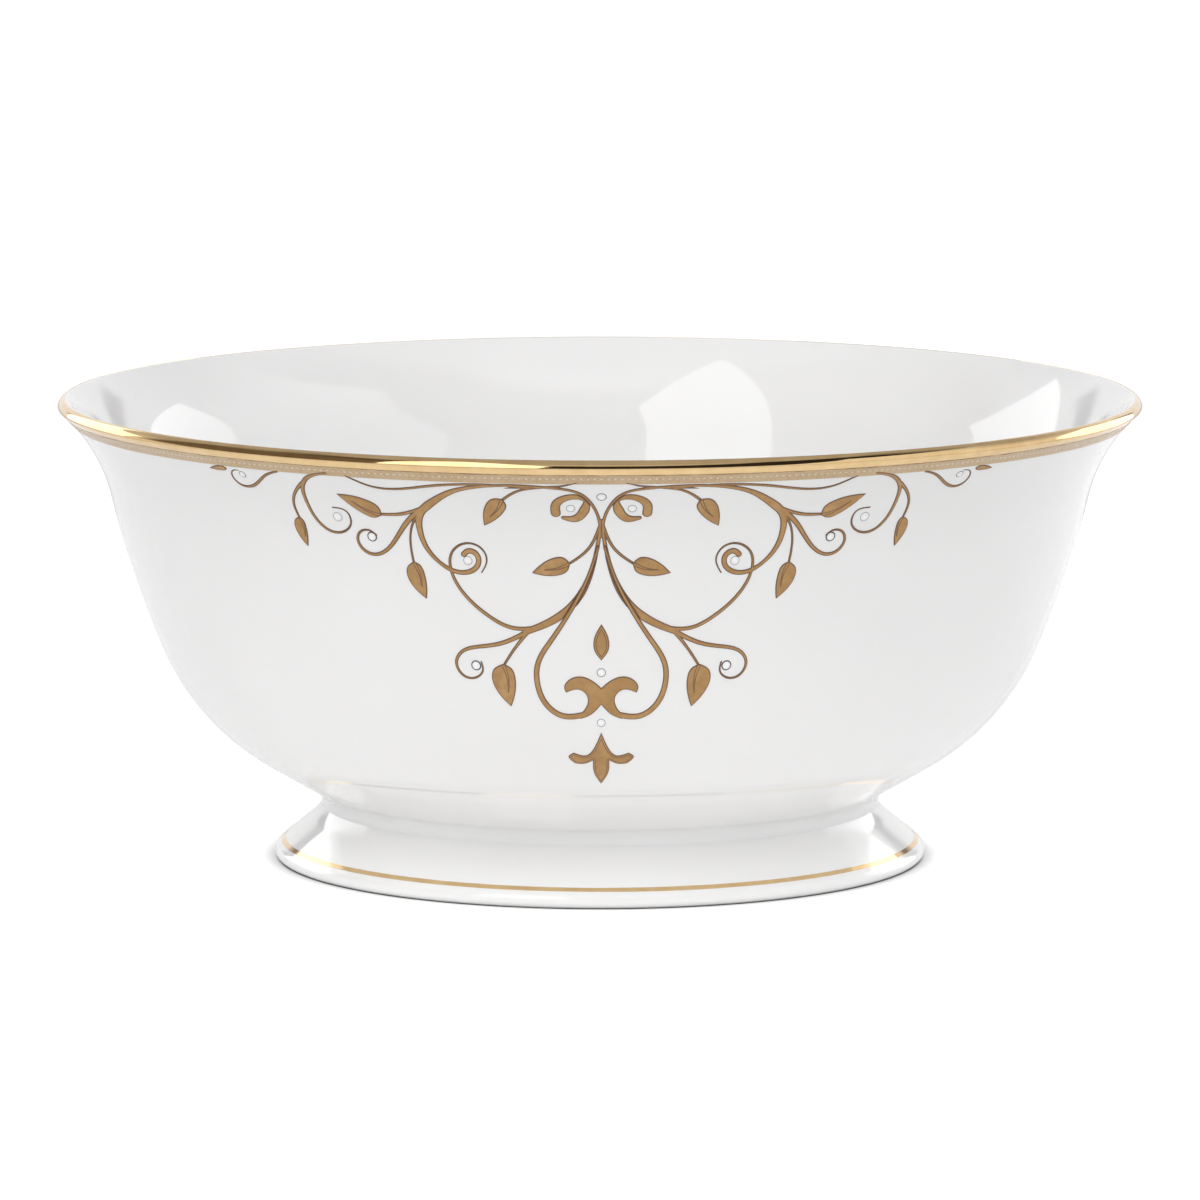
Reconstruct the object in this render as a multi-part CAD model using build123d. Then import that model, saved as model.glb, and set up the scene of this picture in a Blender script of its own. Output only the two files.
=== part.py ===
from build123d import *

import os
from math import cos, radians, sin

# Footed porcelain serving bowl: a deep bowl with a flared lip, stuck with slip to a hollow flared foot, with
# fired gold bands and a raised gold scroll ornament on its front and back.
# Frame: +Z up along the axis of the bowl, origin at the centre of the resting plane, front ornament to -Y.
# Millimetres and degrees throughout. Outlines are drawn as (radius, height) and turned about the axis.

# Driving dimensions of the bowl
RIM_RADIUS = 120.0
HEIGHT = 103.0
WALL_THICKNESS = 2.8
LIP_LEAN = 47.5  # slope of the wall from vertical where it meets the lip
LIP_EDGE_RADIUS = 0.6  # the lip's section: a tight outer edge, a flatter top and a round inner edge
LIP_INNER_RADIUS = 0.9
LIP_TOP_START = 15  # directions out of the lip, from level, between which its flatter top lies
LIP_TOP_END = 75
FLARE_RADIUS = 37.6
FLARE_TURN = 34.2
SIDE_RADIUS = 222.8
SIDE_TURN = 9.0
BELLY_RADIUS = 53.7
BELLY_TURN = 37.4
FLOOR_RADIUS = 75.0  # inside curve between belly and flat floor
BASE_HEIGHT = 11.0  # flat underside of the bowl, inside the foot
BASE_CORNER_RADIUS = 1.5

# Driving dimensions of the foot
FOOT_RADIUS = 72.4
FOOT_EDGE_LOW_RADIUS = 1.46
FOOT_EDGE_HIGH_RADIUS = 2.16
FOOT_LEAN = 50.2
FOOT_SKIRT_LENGTH = 8.9
FOOT_NECK_RADIUS = 12.4
FOOT_NECK_TURN = 31.8
FOOT_THICKNESS = 3.8
FOOT_RING_CORNER_RADIUS = 0.6
NECK_OUTER_CORNER = (61, 14)  # about where the foot meets the bowl, outside and inside
NECK_INNER_CORNER = (57.7, 12.2)
SEAM_THICKNESS = 0.5
SEAM_OUTER_BEVEL = 1.0  # the wiped slip in the corners outside and inside the neck
SEAM_INNER_BEVEL = 0.7

# Fired films: how far they stand proud, and where they lie
GOLD_FILM = 0.12
GROUND_FILM = 0.12
ORNAMENT_FILM = 0.2
RIM_GOLD_INNER_RADIUS = 118.6  # the gold starts just outside the crest of the lip
RIM_GOLD_WIDTH = 1.3  # down the wall from the start of the flare
BORDER_WIDTH = 2.7
FOOT_LINE_HEIGHT = 4.0
FOOT_LINE_RISE = 0.7
ORNAMENT_LOWEST = 26.0

# The ornament is drawn flat, as it is printed: x runs to the right of its centre line, measured at this
# radius, and y runs down the wall from the lower edge of the border.
DRAWING_RADIUS = 110.0
DOT_RADIUS = 1.0
DOT_HEIGHT = 0.35
DOT_EDGE_RADIUS = 0.25
DOT_ROOT = 0.2  # how far a dot reaches below the surface before it is cut off there
TILT_STEP = 0.5  # how far to each side the wall's slope is read under a dot
STROKE_STEP = 1.5  # spacing of the stations that carry a stroke's two edges

BORDER_BOTTOM = RIM_GOLD_WIDTH + BORDER_WIDTH
UNDERSIDE_LEAN = LIP_LEAN - FLARE_TURN + SIDE_TURN + BELLY_TURN


def heading(lean):
    """Direction down the wall and inwards, at an angle from vertical."""
    return Vector(-sin(radians(lean)), -cos(radians(lean)))


def outward(lean):
    """Direction out of the wall, square to heading."""
    return Vector(cos(radians(lean)), -sin(radians(lean)))


def direction(angle):
    return Vector(cos(radians(angle)), sin(radians(angle)))


def width_across(start, end):
    """The part of the wall's thickness that an arc of unit radius takes up, between two directions."""
    return cos(radians(start + LIP_LEAN)) - cos(radians(end + LIP_LEAN))


def rise_along(start, end):
    """How far an arc of unit radius climbs along the wall's slope, between two directions."""
    return sin(radians(end + LIP_LEAN)) - sin(radians(start + LIP_LEAN))


LIP_START = -LIP_LEAN
LIP_END = 180 - LIP_LEAN
EDGE_WIDTH = LIP_EDGE_RADIUS * width_across(LIP_START, LIP_TOP_START)
INNER_WIDTH = LIP_INNER_RADIUS * width_across(LIP_TOP_END, LIP_END)
LIP_TOP_RADIUS = (WALL_THICKNESS - EDGE_WIDTH - INNER_WIDTH) / width_across(LIP_TOP_START, LIP_TOP_END)

# The inner edge ends square across the wall from where the flare starts: the outer edge leads there straight.
EDGE_RISE = LIP_EDGE_RADIUS * rise_along(LIP_START, LIP_TOP_START)
TOP_RISE = LIP_TOP_RADIUS * rise_along(LIP_TOP_START, LIP_TOP_END)
INNER_RISE = LIP_INNER_RADIUS * rise_along(LIP_TOP_END, LIP_END)
EDGE_STRAIGHT = -(EDGE_RISE + TOP_RISE + INNER_RISE)

TOP_FROM_EDGE = direction(LIP_TOP_START) * (LIP_EDGE_RADIUS - LIP_TOP_RADIUS)
INNER_FROM_TOP = direction(LIP_TOP_END) * (LIP_TOP_RADIUS - LIP_INNER_RADIUS)
EDGE_HEIGHT = HEIGHT - LIP_INNER_RADIUS - TOP_FROM_EDGE.Y - INNER_FROM_TOP.Y
LIP_EDGE_CENTRE = Vector(RIM_RADIUS - LIP_EDGE_RADIUS, EDGE_HEIGHT)
LIP_TOP_CENTRE = LIP_EDGE_CENTRE + TOP_FROM_EDGE
LIP_INNER_CENTRE = LIP_TOP_CENTRE + INNER_FROM_TOP
FLARE_START = LIP_EDGE_CENTRE + outward(LIP_LEAN) * LIP_EDGE_RADIUS + heading(LIP_LEAN) * EDGE_STRAIGHT


def wall_line(growth):
    """The wall from the flare down to the start of the straight underside, moved outwards by growth."""
    start = FLARE_START + outward(LIP_LEAN) * growth
    flare = JernArc(start, heading(LIP_LEAN), FLARE_RADIUS - growth, FLARE_TURN)
    side = JernArc(flare @ 1, flare % 1, SIDE_RADIUS + growth, -SIDE_TURN)
    belly = JernArc(side @ 1, side % 1, BELLY_RADIUS + growth, -BELLY_TURN)
    return [flare, side, belly]


def lip_line(growth, end_angle):
    """The lip, from the start of the flare over the crest to end_angle on its inner edge."""
    start = FLARE_START + outward(LIP_LEAN) * growth
    straight = Line(start, start - heading(LIP_LEAN) * EDGE_STRAIGHT)
    edge = CenterArc(LIP_EDGE_CENTRE, LIP_EDGE_RADIUS + growth, LIP_START, LIP_TOP_START - LIP_START)
    top = CenterArc(LIP_TOP_CENTRE, LIP_TOP_RADIUS + growth, LIP_TOP_START, LIP_TOP_END - LIP_TOP_START)
    inner_edge = CenterArc(LIP_INNER_CENTRE, LIP_INNER_RADIUS + growth, LIP_TOP_END, end_angle - LIP_TOP_END)
    return [straight, edge, top, inner_edge]


def underside_point(start, height):
    """Where the straight underside, going on inwards from start, comes down to height."""
    down = heading(UNDERSIDE_LEAN)
    return start + down * ((height - start.Y) / down.Y)


def closed(edges):
    return make_face(Wire(edges))


def turned(section):
    """A solid of revolution from a section drawn in radius and height."""
    return revolve(Plane.XZ * section, Axis.Z)


def nearest_vertex(face, radius, height):
    return face.vertices().sort_by_distance((radius, height, 0))[0]


def bowl_section():
    outer = wall_line(0)
    lip = lip_line(0, LIP_END)
    inner = wall_line(-WALL_THICKNESS)
    floor_curve = JernArc(inner[-1] @ 1, inner[-1] % 1, FLOOR_RADIUS, -(90 - UNDERSIDE_LEAN))
    floor_height = (floor_curve @ 1).Y
    base_corner = underside_point(outer[-1] @ 1, BASE_HEIGHT)
    rest = Polyline(
        floor_curve @ 1,
        (0, floor_height),
        (0, BASE_HEIGHT),
        base_corner,
        outer[-1] @ 1,
    )
    face = closed([*outer, *lip, *inner, floor_curve, *rest.edges()])
    return fillet(nearest_vertex(face, base_corner.X, base_corner.Y), BASE_CORNER_RADIUS)


def foot_outline():
    """The foot before its top is cut to the underside of the bowl."""
    ring_outer = Vector(FOOT_RADIUS - FOOT_EDGE_LOW_RADIUS, 0)
    edge_low = JernArc(ring_outer, (1, 0), FOOT_EDGE_LOW_RADIUS, 90)
    edge_high = JernArc(edge_low @ 1, edge_low % 1, FOOT_EDGE_HIGH_RADIUS, FOOT_LEAN)
    up = edge_high % 1
    inward = Vector(-up.Y, up.X) * FOOT_THICKNESS
    skirt = Line(edge_high @ 1, edge_high @ 1 + up * FOOT_SKIRT_LENGTH)
    neck = JernArc(skirt @ 1, up, FOOT_NECK_RADIUS, -FOOT_NECK_TURN)
    inner_neck = JernArc(skirt @ 1 + inward, up, FOOT_NECK_RADIUS + FOOT_THICKNESS, -FOOT_NECK_TURN)
    skirt_foot = skirt @ 0 + inward
    ring_inner = skirt_foot - up * (skirt_foot.Y / up.Y)
    inner_skirt = Line(ring_inner, skirt @ 1 + inward)
    top = Line(neck @ 1, inner_neck @ 1)
    ring = Line(ring_outer, ring_inner)
    face = closed([edge_low, edge_high, skirt, neck, top, inner_neck, inner_skirt, ring])
    return fillet(nearest_vertex(face, ring_inner.X, 0), FOOT_RING_CORNER_RADIUS)


def above_underside(gap):
    """A slab whose lower edge is the underside of the bowl, moved down by gap."""
    belly_end = wall_line(0)[-1] @ 1
    shift = outward(UNDERSIDE_LEAN) * gap
    low = underside_point(belly_end, 0) + shift
    high = belly_end + shift
    return closed(Polyline(low, high, (0, HEIGHT), (0, 0), close=True).edges())


def seam_section(bowl, foot):
    """The slip between bowl and foot, with its wiped corners outside and inside the neck."""
    joined = bowl + foot_outline()
    joined = chamfer(nearest_vertex(joined, *NECK_OUTER_CORNER), SEAM_OUTER_BEVEL)
    joined = chamfer(nearest_vertex(joined, *NECK_INNER_CORNER), SEAM_INNER_BEVEL)
    return joined - bowl - foot


def filled_section(growth):
    """Everything within the outer surface, moved outwards by growth."""
    outer = wall_line(growth)
    lip = lip_line(growth, 90)
    crest = LIP_INNER_CENTRE + Vector(0, LIP_INNER_RADIUS + growth)
    belly_end = outer[-1] @ 1
    rest = Polyline(crest, (0, crest.Y), (0, BASE_HEIGHT), underside_point(belly_end, BASE_HEIGHT), belly_end)
    return closed([*outer, *lip, *rest.edges()])


def band_between(low, high, inner_radius):
    """A window in the section that keeps what is between two heights and outside a radius."""
    outer_radius = RIM_RADIUS + 5
    centre = Pos((inner_radius + outer_radius) / 2, (low + high) / 2)
    return centre * Rectangle(outer_radius - inner_radius, high - low)


def skin(growth, low, high, inner_radius):
    """A film on the bowl between two heights."""
    section = filled_section(growth) - filled_section(0)
    return turned(section & band_between(low, high, inner_radius))


def foot_line():
    foot = foot_outline()
    grown = Pos(GOLD_FILM * cos(radians(FOOT_LEAN)), GOLD_FILM * sin(radians(FOOT_LEAN))) * foot
    low = FOOT_LINE_HEIGHT - FOOT_LINE_RISE / 2
    return turned((grown - foot) & band_between(low, low + FOOT_LINE_RISE, FOOT_RADIUS - 3))


WALL = Wire(wall_line(0))


def wall_point(distance):
    """The point of the section at a distance down the wall from the start of the flare."""
    return WALL.position_at(distance, position_mode=PositionMode.LENGTH)


def on_bowl(x, y):
    """A point of the flat drawing, laid on the front of the bowl."""
    place = wall_point(BORDER_BOTTOM + y)
    around = x / DRAWING_RADIUS
    return Vector(place.X * sin(around), -place.X * cos(around), place.Y)


def front_view(x, y):
    """The same point in the front elevation, where across is X and up is Y."""
    place = on_bowl(x, y)
    return Vector(place.X, place.Z)


# The right half of the ornament, as strokes: the centre line's points, then the width at start, middle and end.
VINES = {
    "top_arm": (
        [(0.2, 14), (0.4, 10.5), (1.6, 6.6), (4.5, 2.8), (9.5, 1.3), (24, 1.1), (30.5, 3.0), (35.5, 6.6),
         (38.4, 8.8)],
        (0.7, 0.9, 1.7),
    ),
    "upper_vine": ([(14, 1.2), (24, 0.6), (35, 1.6), (43.5, 3.0), (48, 2.4), (52.5, -0.2)], (0.6, 0.8, 0.6)),
    "first_leaf_stem": ([(12, 1.2), (16.5, 2.2), (20.4, 5.2)], (0.6, 0.7, 0.7)),
    "second_leaf_stem": ([(37.5, 8.0), (42, 9.6), (47.6, 10.0)], (1.0, 0.8, 0.7)),
    "inner_spiral": (
        [(37.9, 7.8), (39.0, 11), (38.5, 16.5), (35.3, 20.6), (32, 22.5), (28.8, 22.5), (26.7, 20.8),
         (26.7, 18.7)],
        (1.8, 1.0, 1.2),
    ),
    "third_leaf_stem": ([(38.2, 8.4), (40.4, 12), (41.5, 16), (41.2, 21.2)], (0.8, 0.6, 0.6)),
    "outer_curl": (
        [(37.8, 8.0), (41.5, 11.5), (44.5, 15.4), (47, 18.2), (50, 19.6), (52.9, 18.7), (54, 16.4),
         (52.7, 14.4)],
        (1.2, 0.9, 0.6),
    ),
    "right_curl": (
        [(57, -0.7), (61.5, 0.9), (64.2, 4), (64.7, 8), (63.3, 12.6), (60.3, 15), (57, 14.8), (54.9, 12.5),
         (55, 9.8)],
        (0.8, 0.9, 0.6),
    ),
    "fourth_leaf_stem": ([(64, 3), (66.6, 5.6), (68.3, 9), (67.8, 12.8)], (0.9, 0.7, 0.6)),
    "far_curl": ([(69, 0.1), (72, 1.3), (75.2, 3.6), (78.4, 5.4), (81.4, 5), (82.2, 2.8)], (0.7, 0.7, 0.6)),
    "fifth_leaf_stem": ([(0.4, 11.5), (2.6, 16.6), (7.2, 20.4)], (0.7, 0.7, 0.6)),
    "lower_stem": (
        [(0.2, 10), (0.5, 14), (1.8, 20.5), (4.8, 27.6), (9.2, 32.2), (14, 34.8), (17, 36)],
        (0.7, 1.5, 1.5),
    ),
    "outer_spiral": (
        [(14.5, 35), (20, 35.1), (25, 32.6), (30, 28), (32.7, 22.8), (32.4, 18.4), (29.2, 16.1), (26, 16.9),
         (24.6, 19.6)],
        (0.9, 0.8, 0.6),
    ),
    "lower_curl": (
        [(15.5, 35.3), (18.5, 37), (23, 38.9), (28, 39.8), (32.2, 41.2), (33.8, 44), (32.2, 47), (29.4, 47.2)],
        (1.1, 0.8, 0.6),
    ),
    "sixth_leaf_stem": ([(16, 35.5), (19.4, 39.6), (22.9, 44.6)], (0.9, 0.7, 0.6)),
}
HEART_LOOP = (
    [(0.7, 16.5), (3, 23.5), (6.8, 31), (11.5, 38.2), (14.6, 43.6), (14.9, 48.6), (12.9, 53.6), (9, 56.2),
     (4.6, 55.9)],
    (0.7, 0.9, 1.2),
)
C_SCROLLS = [
    ([(2.4, 5.6), (4.6, 3.9), (7.4, 4.2), (9.4, 6.0), (9.4, 8.4)], (0.7, 1.7, 2.1)),
    ([(2.9, 4.9), (3.6, 7.8), (5.2, 9.9), (7.9, 9.5)], (1.2, 2.2, 0.5)),
]
# Leaves: where the stem joins, the tip, and how far each side bulges from the line between them.
LEAVES = [
    ((20.2, 4.7), (24.7, 11.8), 1.9, 2.2),
    ((47.1, 10.3), (56.5, 5.3), 1.9, 2.0),
    ((41.3, 20.7), (39.1, 29.2), 1.8, 2.3),
    ((67.8, 12.1), (67.1, 19.1), 1.1, 2.0),
    ((6.7, 20.1), (15.0, 22.4), 1.9, 2.0),
    ((22.7, 43.7), (21.6, 54.1), 2.3, 3.0),
    ((82.6, 0.7), (88.0, 1.3), 0.7, 0.9),
]
# Outlines of the pieces on the centre line: the right side, from top to bottom.
LOBE_TOP = [(0, 49.2), (3.0, 46.8), (6.6, 46.7), (8.6, 49.0), (8.3, 50.4)]
LOBE_INNER = [(8.3, 50.4), (5.0, 49.8), (3.3, 51.4), (4.6, 55.5)]
LOBE_BOTTOM = [(4.4, 56.6), (2.2, 55.5), (0, 53.4)]
DROP_SIDE = [(0, 34.0), (1.5, 37.2), (1.5, 40.6), (0, 42.5)]
FINIAL_NECK = [(0, 60.4), (1.3, 63.8), (3.9, 66.9), (7.3, 66.2)]
FINIAL_ARM_END = (8.6, 67.6)
FINIAL_ARM = [(7.6, 69.2), (4.8, 69.8), (2.1, 68.7)]
FINIAL_FOOT = [(2.1, 68.7), (1.9, 72.4), (0, 76.7)]
SIDE_DOTS = [(6.3, 7.0), (28.9, 20.0), (50.4, 15.6), (57.9, 11.4), (79.0, 2.1), (29.1, 44.3)]
CENTRE_DOTS = [(0, 3.8), (0, 45.5), (0, 57.9)]


def drawn(points):
    """A smooth line through points of the flat drawing, seen in the front elevation."""
    return Spline(*[front_view(x, y) for x, y in points])


def stroke(points, widths):
    """The outline of a vine: its centre line, widened on both sides."""
    centre = Spline(*points)
    stations = max(8, round(centre.length / STROKE_STEP))
    start_width, middle_width, end_width = widths
    left, right = [], []
    for i in range(stations + 1):
        t = i / stations
        width = start_width * (1 - t) ** 2 + (4 * middle_width - start_width - end_width) * t * (1 - t)
        width += end_width * t**2
        place = centre @ t
        along = centre % t
        across = Vector(-along.Y, along.X) * (width / 2)
        left.append(tuple(place + across)[:2])
        right.append(tuple(place - across)[:2])
    sides = [drawn(left), drawn(right)]
    caps = [Line(sides[0] @ 0, sides[1] @ 0), Line(sides[0] @ 1, sides[1] @ 1)]
    return closed([sides[0], caps[1], sides[1], caps[0]])


def leaf(base, tip, left_bulge, right_bulge):
    """A pointed leaf, round at its stem."""
    base, tip = Vector(*base), Vector(*tip)
    along = tip - base
    across = Vector(-along.Y, along.X).normalized()
    sides = []
    for bulge in (left_bulge, -right_bulge):
        shoulder = base + along * 0.12 + across * bulge * 0.75
        belly = base + along * 0.38 + across * bulge
        waist = base + along * 0.72 + across * bulge * 0.6
        sides.append(drawn([tuple(p)[:2] for p in (base, shoulder, belly, waist, tip)]))
    return closed(sides)


def both_sides(face):
    return face + mirror(face, Plane.YZ)


def closed_on_centre(edges):
    """A face from the right side of a piece, closed along the centre line, with its mirror image."""
    return both_sides(closed([*edges, Line(edges[-1] @ 1, edges[0] @ 0)]))


def centre_scroll():
    lobe_edges = [drawn(LOBE_TOP), drawn(LOBE_INNER)]
    lobe_edges += [Line(front_view(*LOBE_INNER[-1]), front_view(*LOBE_BOTTOM[0])), drawn(LOBE_BOTTOM)]
    return closed_on_centre(lobe_edges) + both_sides(stroke(*HEART_LOOP))


def drop():
    return closed_on_centre([drawn(DROP_SIDE)])


def finial():
    arm_end = drawn([FINIAL_NECK[-1], FINIAL_ARM_END, FINIAL_ARM[0]])
    return closed_on_centre([drawn(FINIAL_NECK), arm_end, drawn(FINIAL_ARM), drawn(FINIAL_FOOT)])


ORNAMENT_SKIN = skin(ORNAMENT_FILM, ORNAMENT_LOWEST, wall_point(BORDER_BOTTOM).Y, FOOT_RADIUS)


def laid_on(faces):
    """The part of the ornament's film that lies behind faces drawn in the front elevation."""
    return extrude(Plane.XZ * faces, amount=RIM_RADIUS + 10) & ORNAMENT_SKIN


def enamel_dots():
    """Low buttons of enamel with a rounded edge, standing square on the wall."""
    button = Cylinder(DOT_RADIUS, DOT_ROOT + DOT_HEIGHT, align=(Align.CENTER, Align.CENTER, Align.MIN))
    button = Pos(0, 0, -DOT_ROOT) * fillet(button.edges().sort_by(Axis.Z)[-1], DOT_EDGE_RADIUS)
    bowl_fill = turned(filled_section(0))
    mirrored = [(-x, y) for x, y in SIDE_DOTS]
    dots = []
    for x, y in SIDE_DOTS + mirrored + CENTRE_DOTS:
        down = on_bowl(x, y + TILT_STEP) - on_bowl(x, y - TILT_STEP)
        across = on_bowl(x + TILT_STEP, y) - on_bowl(x - TILT_STEP, y)
        wall_plane = Plane(on_bowl(x, y), x_dir=across, z_dir=down.cross(across))
        dots.append(wall_plane * button - bowl_fill)
    return dots


def write(name, shape):
    """One file for a sub-part, with all its solids together."""
    shapes = shape if isinstance(shape, list) else [shape]
    solids = [solid for one in shapes for solid in one.solids()]
    export_step(Compound(solids) if len(solids) > 1 else solids[0], f"parts/{name}.step")


def ornament():
    """The pieces of one ornament, by name."""
    leaves = [both_sides(leaf(*spec)) for spec in LEAVES]
    scroll = centre_scroll()
    vines = Sketch() + [both_sides(stroke(*spec)) for spec in VINES.values()]
    vines = vines - scroll
    for one in leaves:
        vines = vines - one
    c_scrolls = [both_sides(stroke(*spec)) - vines for spec in C_SCROLLS]
    return {
        "vine_scrolls": laid_on(vines),
        "leaves": [laid_on(one) for one in leaves],
        "centre_scroll": laid_on(scroll),
        "c_scrolls": [laid_on(one) for one in c_scrolls],
        "drop_ornaments": [laid_on(drop()), laid_on(finial())],
        "enamel_dots": enamel_dots(),
    }


def main():
    os.makedirs("parts", exist_ok=True)
    bowl = bowl_section()
    foot = foot_outline() - above_underside(SEAM_THICKNESS)
    write("bowl_body", turned(bowl))
    write("pedestal_foot", turned(foot))
    write("luting_slip_seam", turned(seam_section(bowl, foot)))
    gold_low = wall_point(RIM_GOLD_WIDTH).Y
    border_low = wall_point(BORDER_BOTTOM).Y
    write("rim_gold_band", skin(GOLD_FILM, gold_low, HEIGHT + 1, RIM_GOLD_INNER_RADIUS))
    write("border_ground_band", skin(GROUND_FILM, border_low, gold_low, FOOT_RADIUS))
    write("foot_gold_line", foot_line())
    for name, shape in ornament().items():
        shapes = shape if isinstance(shape, list) else [shape]
        write(f"front_{name}", shapes)
        write(f"back_{name}", [Rot(0, 0, 180) * one for one in shapes])


main()
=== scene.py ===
from math import atan2, cos, degrees, hypot, pi, radians, sin

import bmesh
import bpy
import numpy as np
from mathutils import Matrix, Vector


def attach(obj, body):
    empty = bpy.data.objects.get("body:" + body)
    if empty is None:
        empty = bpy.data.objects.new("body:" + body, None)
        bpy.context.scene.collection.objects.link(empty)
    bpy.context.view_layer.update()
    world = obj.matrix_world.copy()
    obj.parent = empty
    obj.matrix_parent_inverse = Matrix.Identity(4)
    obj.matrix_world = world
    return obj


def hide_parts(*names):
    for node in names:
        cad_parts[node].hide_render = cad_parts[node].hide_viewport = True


# Footed porcelain serving bowl: glazed body and foot, gilded lip, beaded border and raised gold ornament.
# Sizes are in millimetres until a mesh is made; outlines are (radius, height) pairs about the axis.

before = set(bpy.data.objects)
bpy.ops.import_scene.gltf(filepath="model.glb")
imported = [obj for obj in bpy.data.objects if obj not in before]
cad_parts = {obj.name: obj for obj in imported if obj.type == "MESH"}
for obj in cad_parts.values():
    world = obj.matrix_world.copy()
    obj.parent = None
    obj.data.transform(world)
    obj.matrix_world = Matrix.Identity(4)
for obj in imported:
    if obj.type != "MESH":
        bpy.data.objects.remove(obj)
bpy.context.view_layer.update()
METRE = 1000.0
TINY = 1e-6

# Sizes shared with the CAD model
RIM_RADIUS = 120.0
HEIGHT = 103.0
WALL_THICKNESS = 2.8
LIP_LEAN = 47.5
LIP_EDGE_RADIUS, LIP_INNER_RADIUS = 0.6, 0.9
LIP_TOP_START, LIP_TOP_END = 15, 75
FLARE_RADIUS, FLARE_TURN = 37.6, 34.2
SIDE_RADIUS, SIDE_TURN = 222.8, 9.0
BELLY_RADIUS, BELLY_TURN = 53.7, 37.4
FLOOR_RADIUS = 75.0
BASE_HEIGHT = 11.0
BASE_CORNER_RADIUS = 1.5
FOOT_RADIUS = 72.4
FOOT_EDGE_LOW_RADIUS, FOOT_EDGE_HIGH_RADIUS = 1.46, 2.16
FOOT_LEAN = 50.2
FOOT_SKIRT_LENGTH = 8.9
FOOT_NECK_RADIUS, FOOT_NECK_TURN = 12.4, 31.8
FOOT_THICKNESS = 3.8
FOOT_RING_CORNER_RADIUS = 0.6
RIM_GOLD_WIDTH = 1.3
BORDER_WIDTH = 2.7
FOOT_LINE_HEIGHT = 4.0
FOOT_LINE_WIDTH = 1.1
DRAWING_RADIUS = 110.0

# Sizes that only the looks need
SEGMENTS = 288
TURNED_CREASE, FILM_CREASE, DOME_CREASE = 40, 60, 70  # degrees over which edges stay sharp
ARC_STEP = 2.5  # degrees between points of an arc
LIP_STEP = 5
LOW_EDGE_STEP, HIGH_EDGE_STEP = 9, 7
WALL_STEP = 1.6  # millimetres between points of the wall
CORNER_POINTS = 9
RIM_POINTS, BORDER_POINTS, FOOT_LINE_POINTS = 6, 9, 7  # across each band
GLAZE_FILLET = 4.2  # round of the glazed neck
GOLD_FILM = 0.05
GOLD_TOP_DIRECTION = 79  # direction out of the lip at which its gold ends, just outside the crest
GROUND_FILM = 0.04
RAISED_GOLD = 0.13
SUNK = 0.06  # how far a film's underside lies below the glaze
SEAM_REACH = 9  # length of the straight lines that the neck's round is fitted to
SEAM_BURIED = 0.5  # how far the seam's hidden edge lies inside the wall
FILM_SHOULDER = 0.22
CELL = 0.14  # grid of the drawing
SPLINE_STEP = 0.3  # between points of a drawn line
DOT_HEIGHT = 0.3
DOT_SEGMENTS = 40
BEAD_COUNT = 516
BEAD_RADIUS = 0.3
BEAD_HEIGHT = 0.14
BEAD_SEGMENTS = 10
BEAD_ROW = -1.6  # of the drawing, so above the border's lower edge

BORDER_BOTTOM = RIM_GOLD_WIDTH + BORDER_WIDTH
UNDERSIDE_LEAN = LIP_LEAN - FLARE_TURN + SIDE_TURN + BELLY_TURN


# ---- outlines ----

def heading_down(lean):
    """Heading, in degrees, down the wall and inwards at an angle from vertical."""
    return 270 - lean


def unit(heading):
    return np.array([cos(radians(heading)), sin(radians(heading))])


def left_of(heading):
    return unit(heading + 90)


def arc(start, heading, radius, turn, step=ARC_STEP):
    """Points of an arc that leaves start along heading, and its end heading. Positive turns go left."""
    side = 1 if turn > 0 else -1
    centre = start + left_of(heading) * side * radius
    count = max(2, round(abs(turn) / step))
    points = [centre - left_of(heading + turn * i / count) * side * radius for i in range(count + 1)]
    return np.array(points), heading + turn


def width_across(start, end):
    """The part of the wall's thickness that an arc of unit radius takes up, between two directions."""
    return cos(radians(start + LIP_LEAN)) - cos(radians(end + LIP_LEAN))


def rise_along(start, end):
    """How far an arc of unit radius climbs along the wall's slope, between two directions."""
    return sin(radians(end + LIP_LEAN)) - sin(radians(start + LIP_LEAN))


def lip_arcs():
    """The lip's tight outer edge, flatter top and round inner edge, each as (centre, radius, start, end) with
    directions in degrees, and the point where the flare starts."""
    start, end = -LIP_LEAN, 180 - LIP_LEAN
    edge_width = LIP_EDGE_RADIUS * width_across(start, LIP_TOP_START)
    inner_width = LIP_INNER_RADIUS * width_across(LIP_TOP_END, end)
    top_radius = (WALL_THICKNESS - edge_width - inner_width) / width_across(LIP_TOP_START, LIP_TOP_END)
    rise = LIP_EDGE_RADIUS * rise_along(start, LIP_TOP_START)
    rise += top_radius * rise_along(LIP_TOP_START, LIP_TOP_END)
    rise += LIP_INNER_RADIUS * rise_along(LIP_TOP_END, end)
    top_from_edge = unit(LIP_TOP_START) * (LIP_EDGE_RADIUS - top_radius)
    inner_from_top = unit(LIP_TOP_END) * (top_radius - LIP_INNER_RADIUS)
    edge_height = HEIGHT - LIP_INNER_RADIUS - top_from_edge[1] - inner_from_top[1]
    edge = np.array([RIM_RADIUS - LIP_EDGE_RADIUS, edge_height])
    flare_start = edge + unit(start) * LIP_EDGE_RADIUS - unit(heading_down(LIP_LEAN)) * rise
    arcs = (
        (edge, LIP_EDGE_RADIUS, start, LIP_TOP_START),
        (edge + top_from_edge, top_radius, LIP_TOP_START, LIP_TOP_END),
        (edge + top_from_edge + inner_from_top, LIP_INNER_RADIUS, LIP_TOP_END, end),
    )
    return arcs, flare_start


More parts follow.
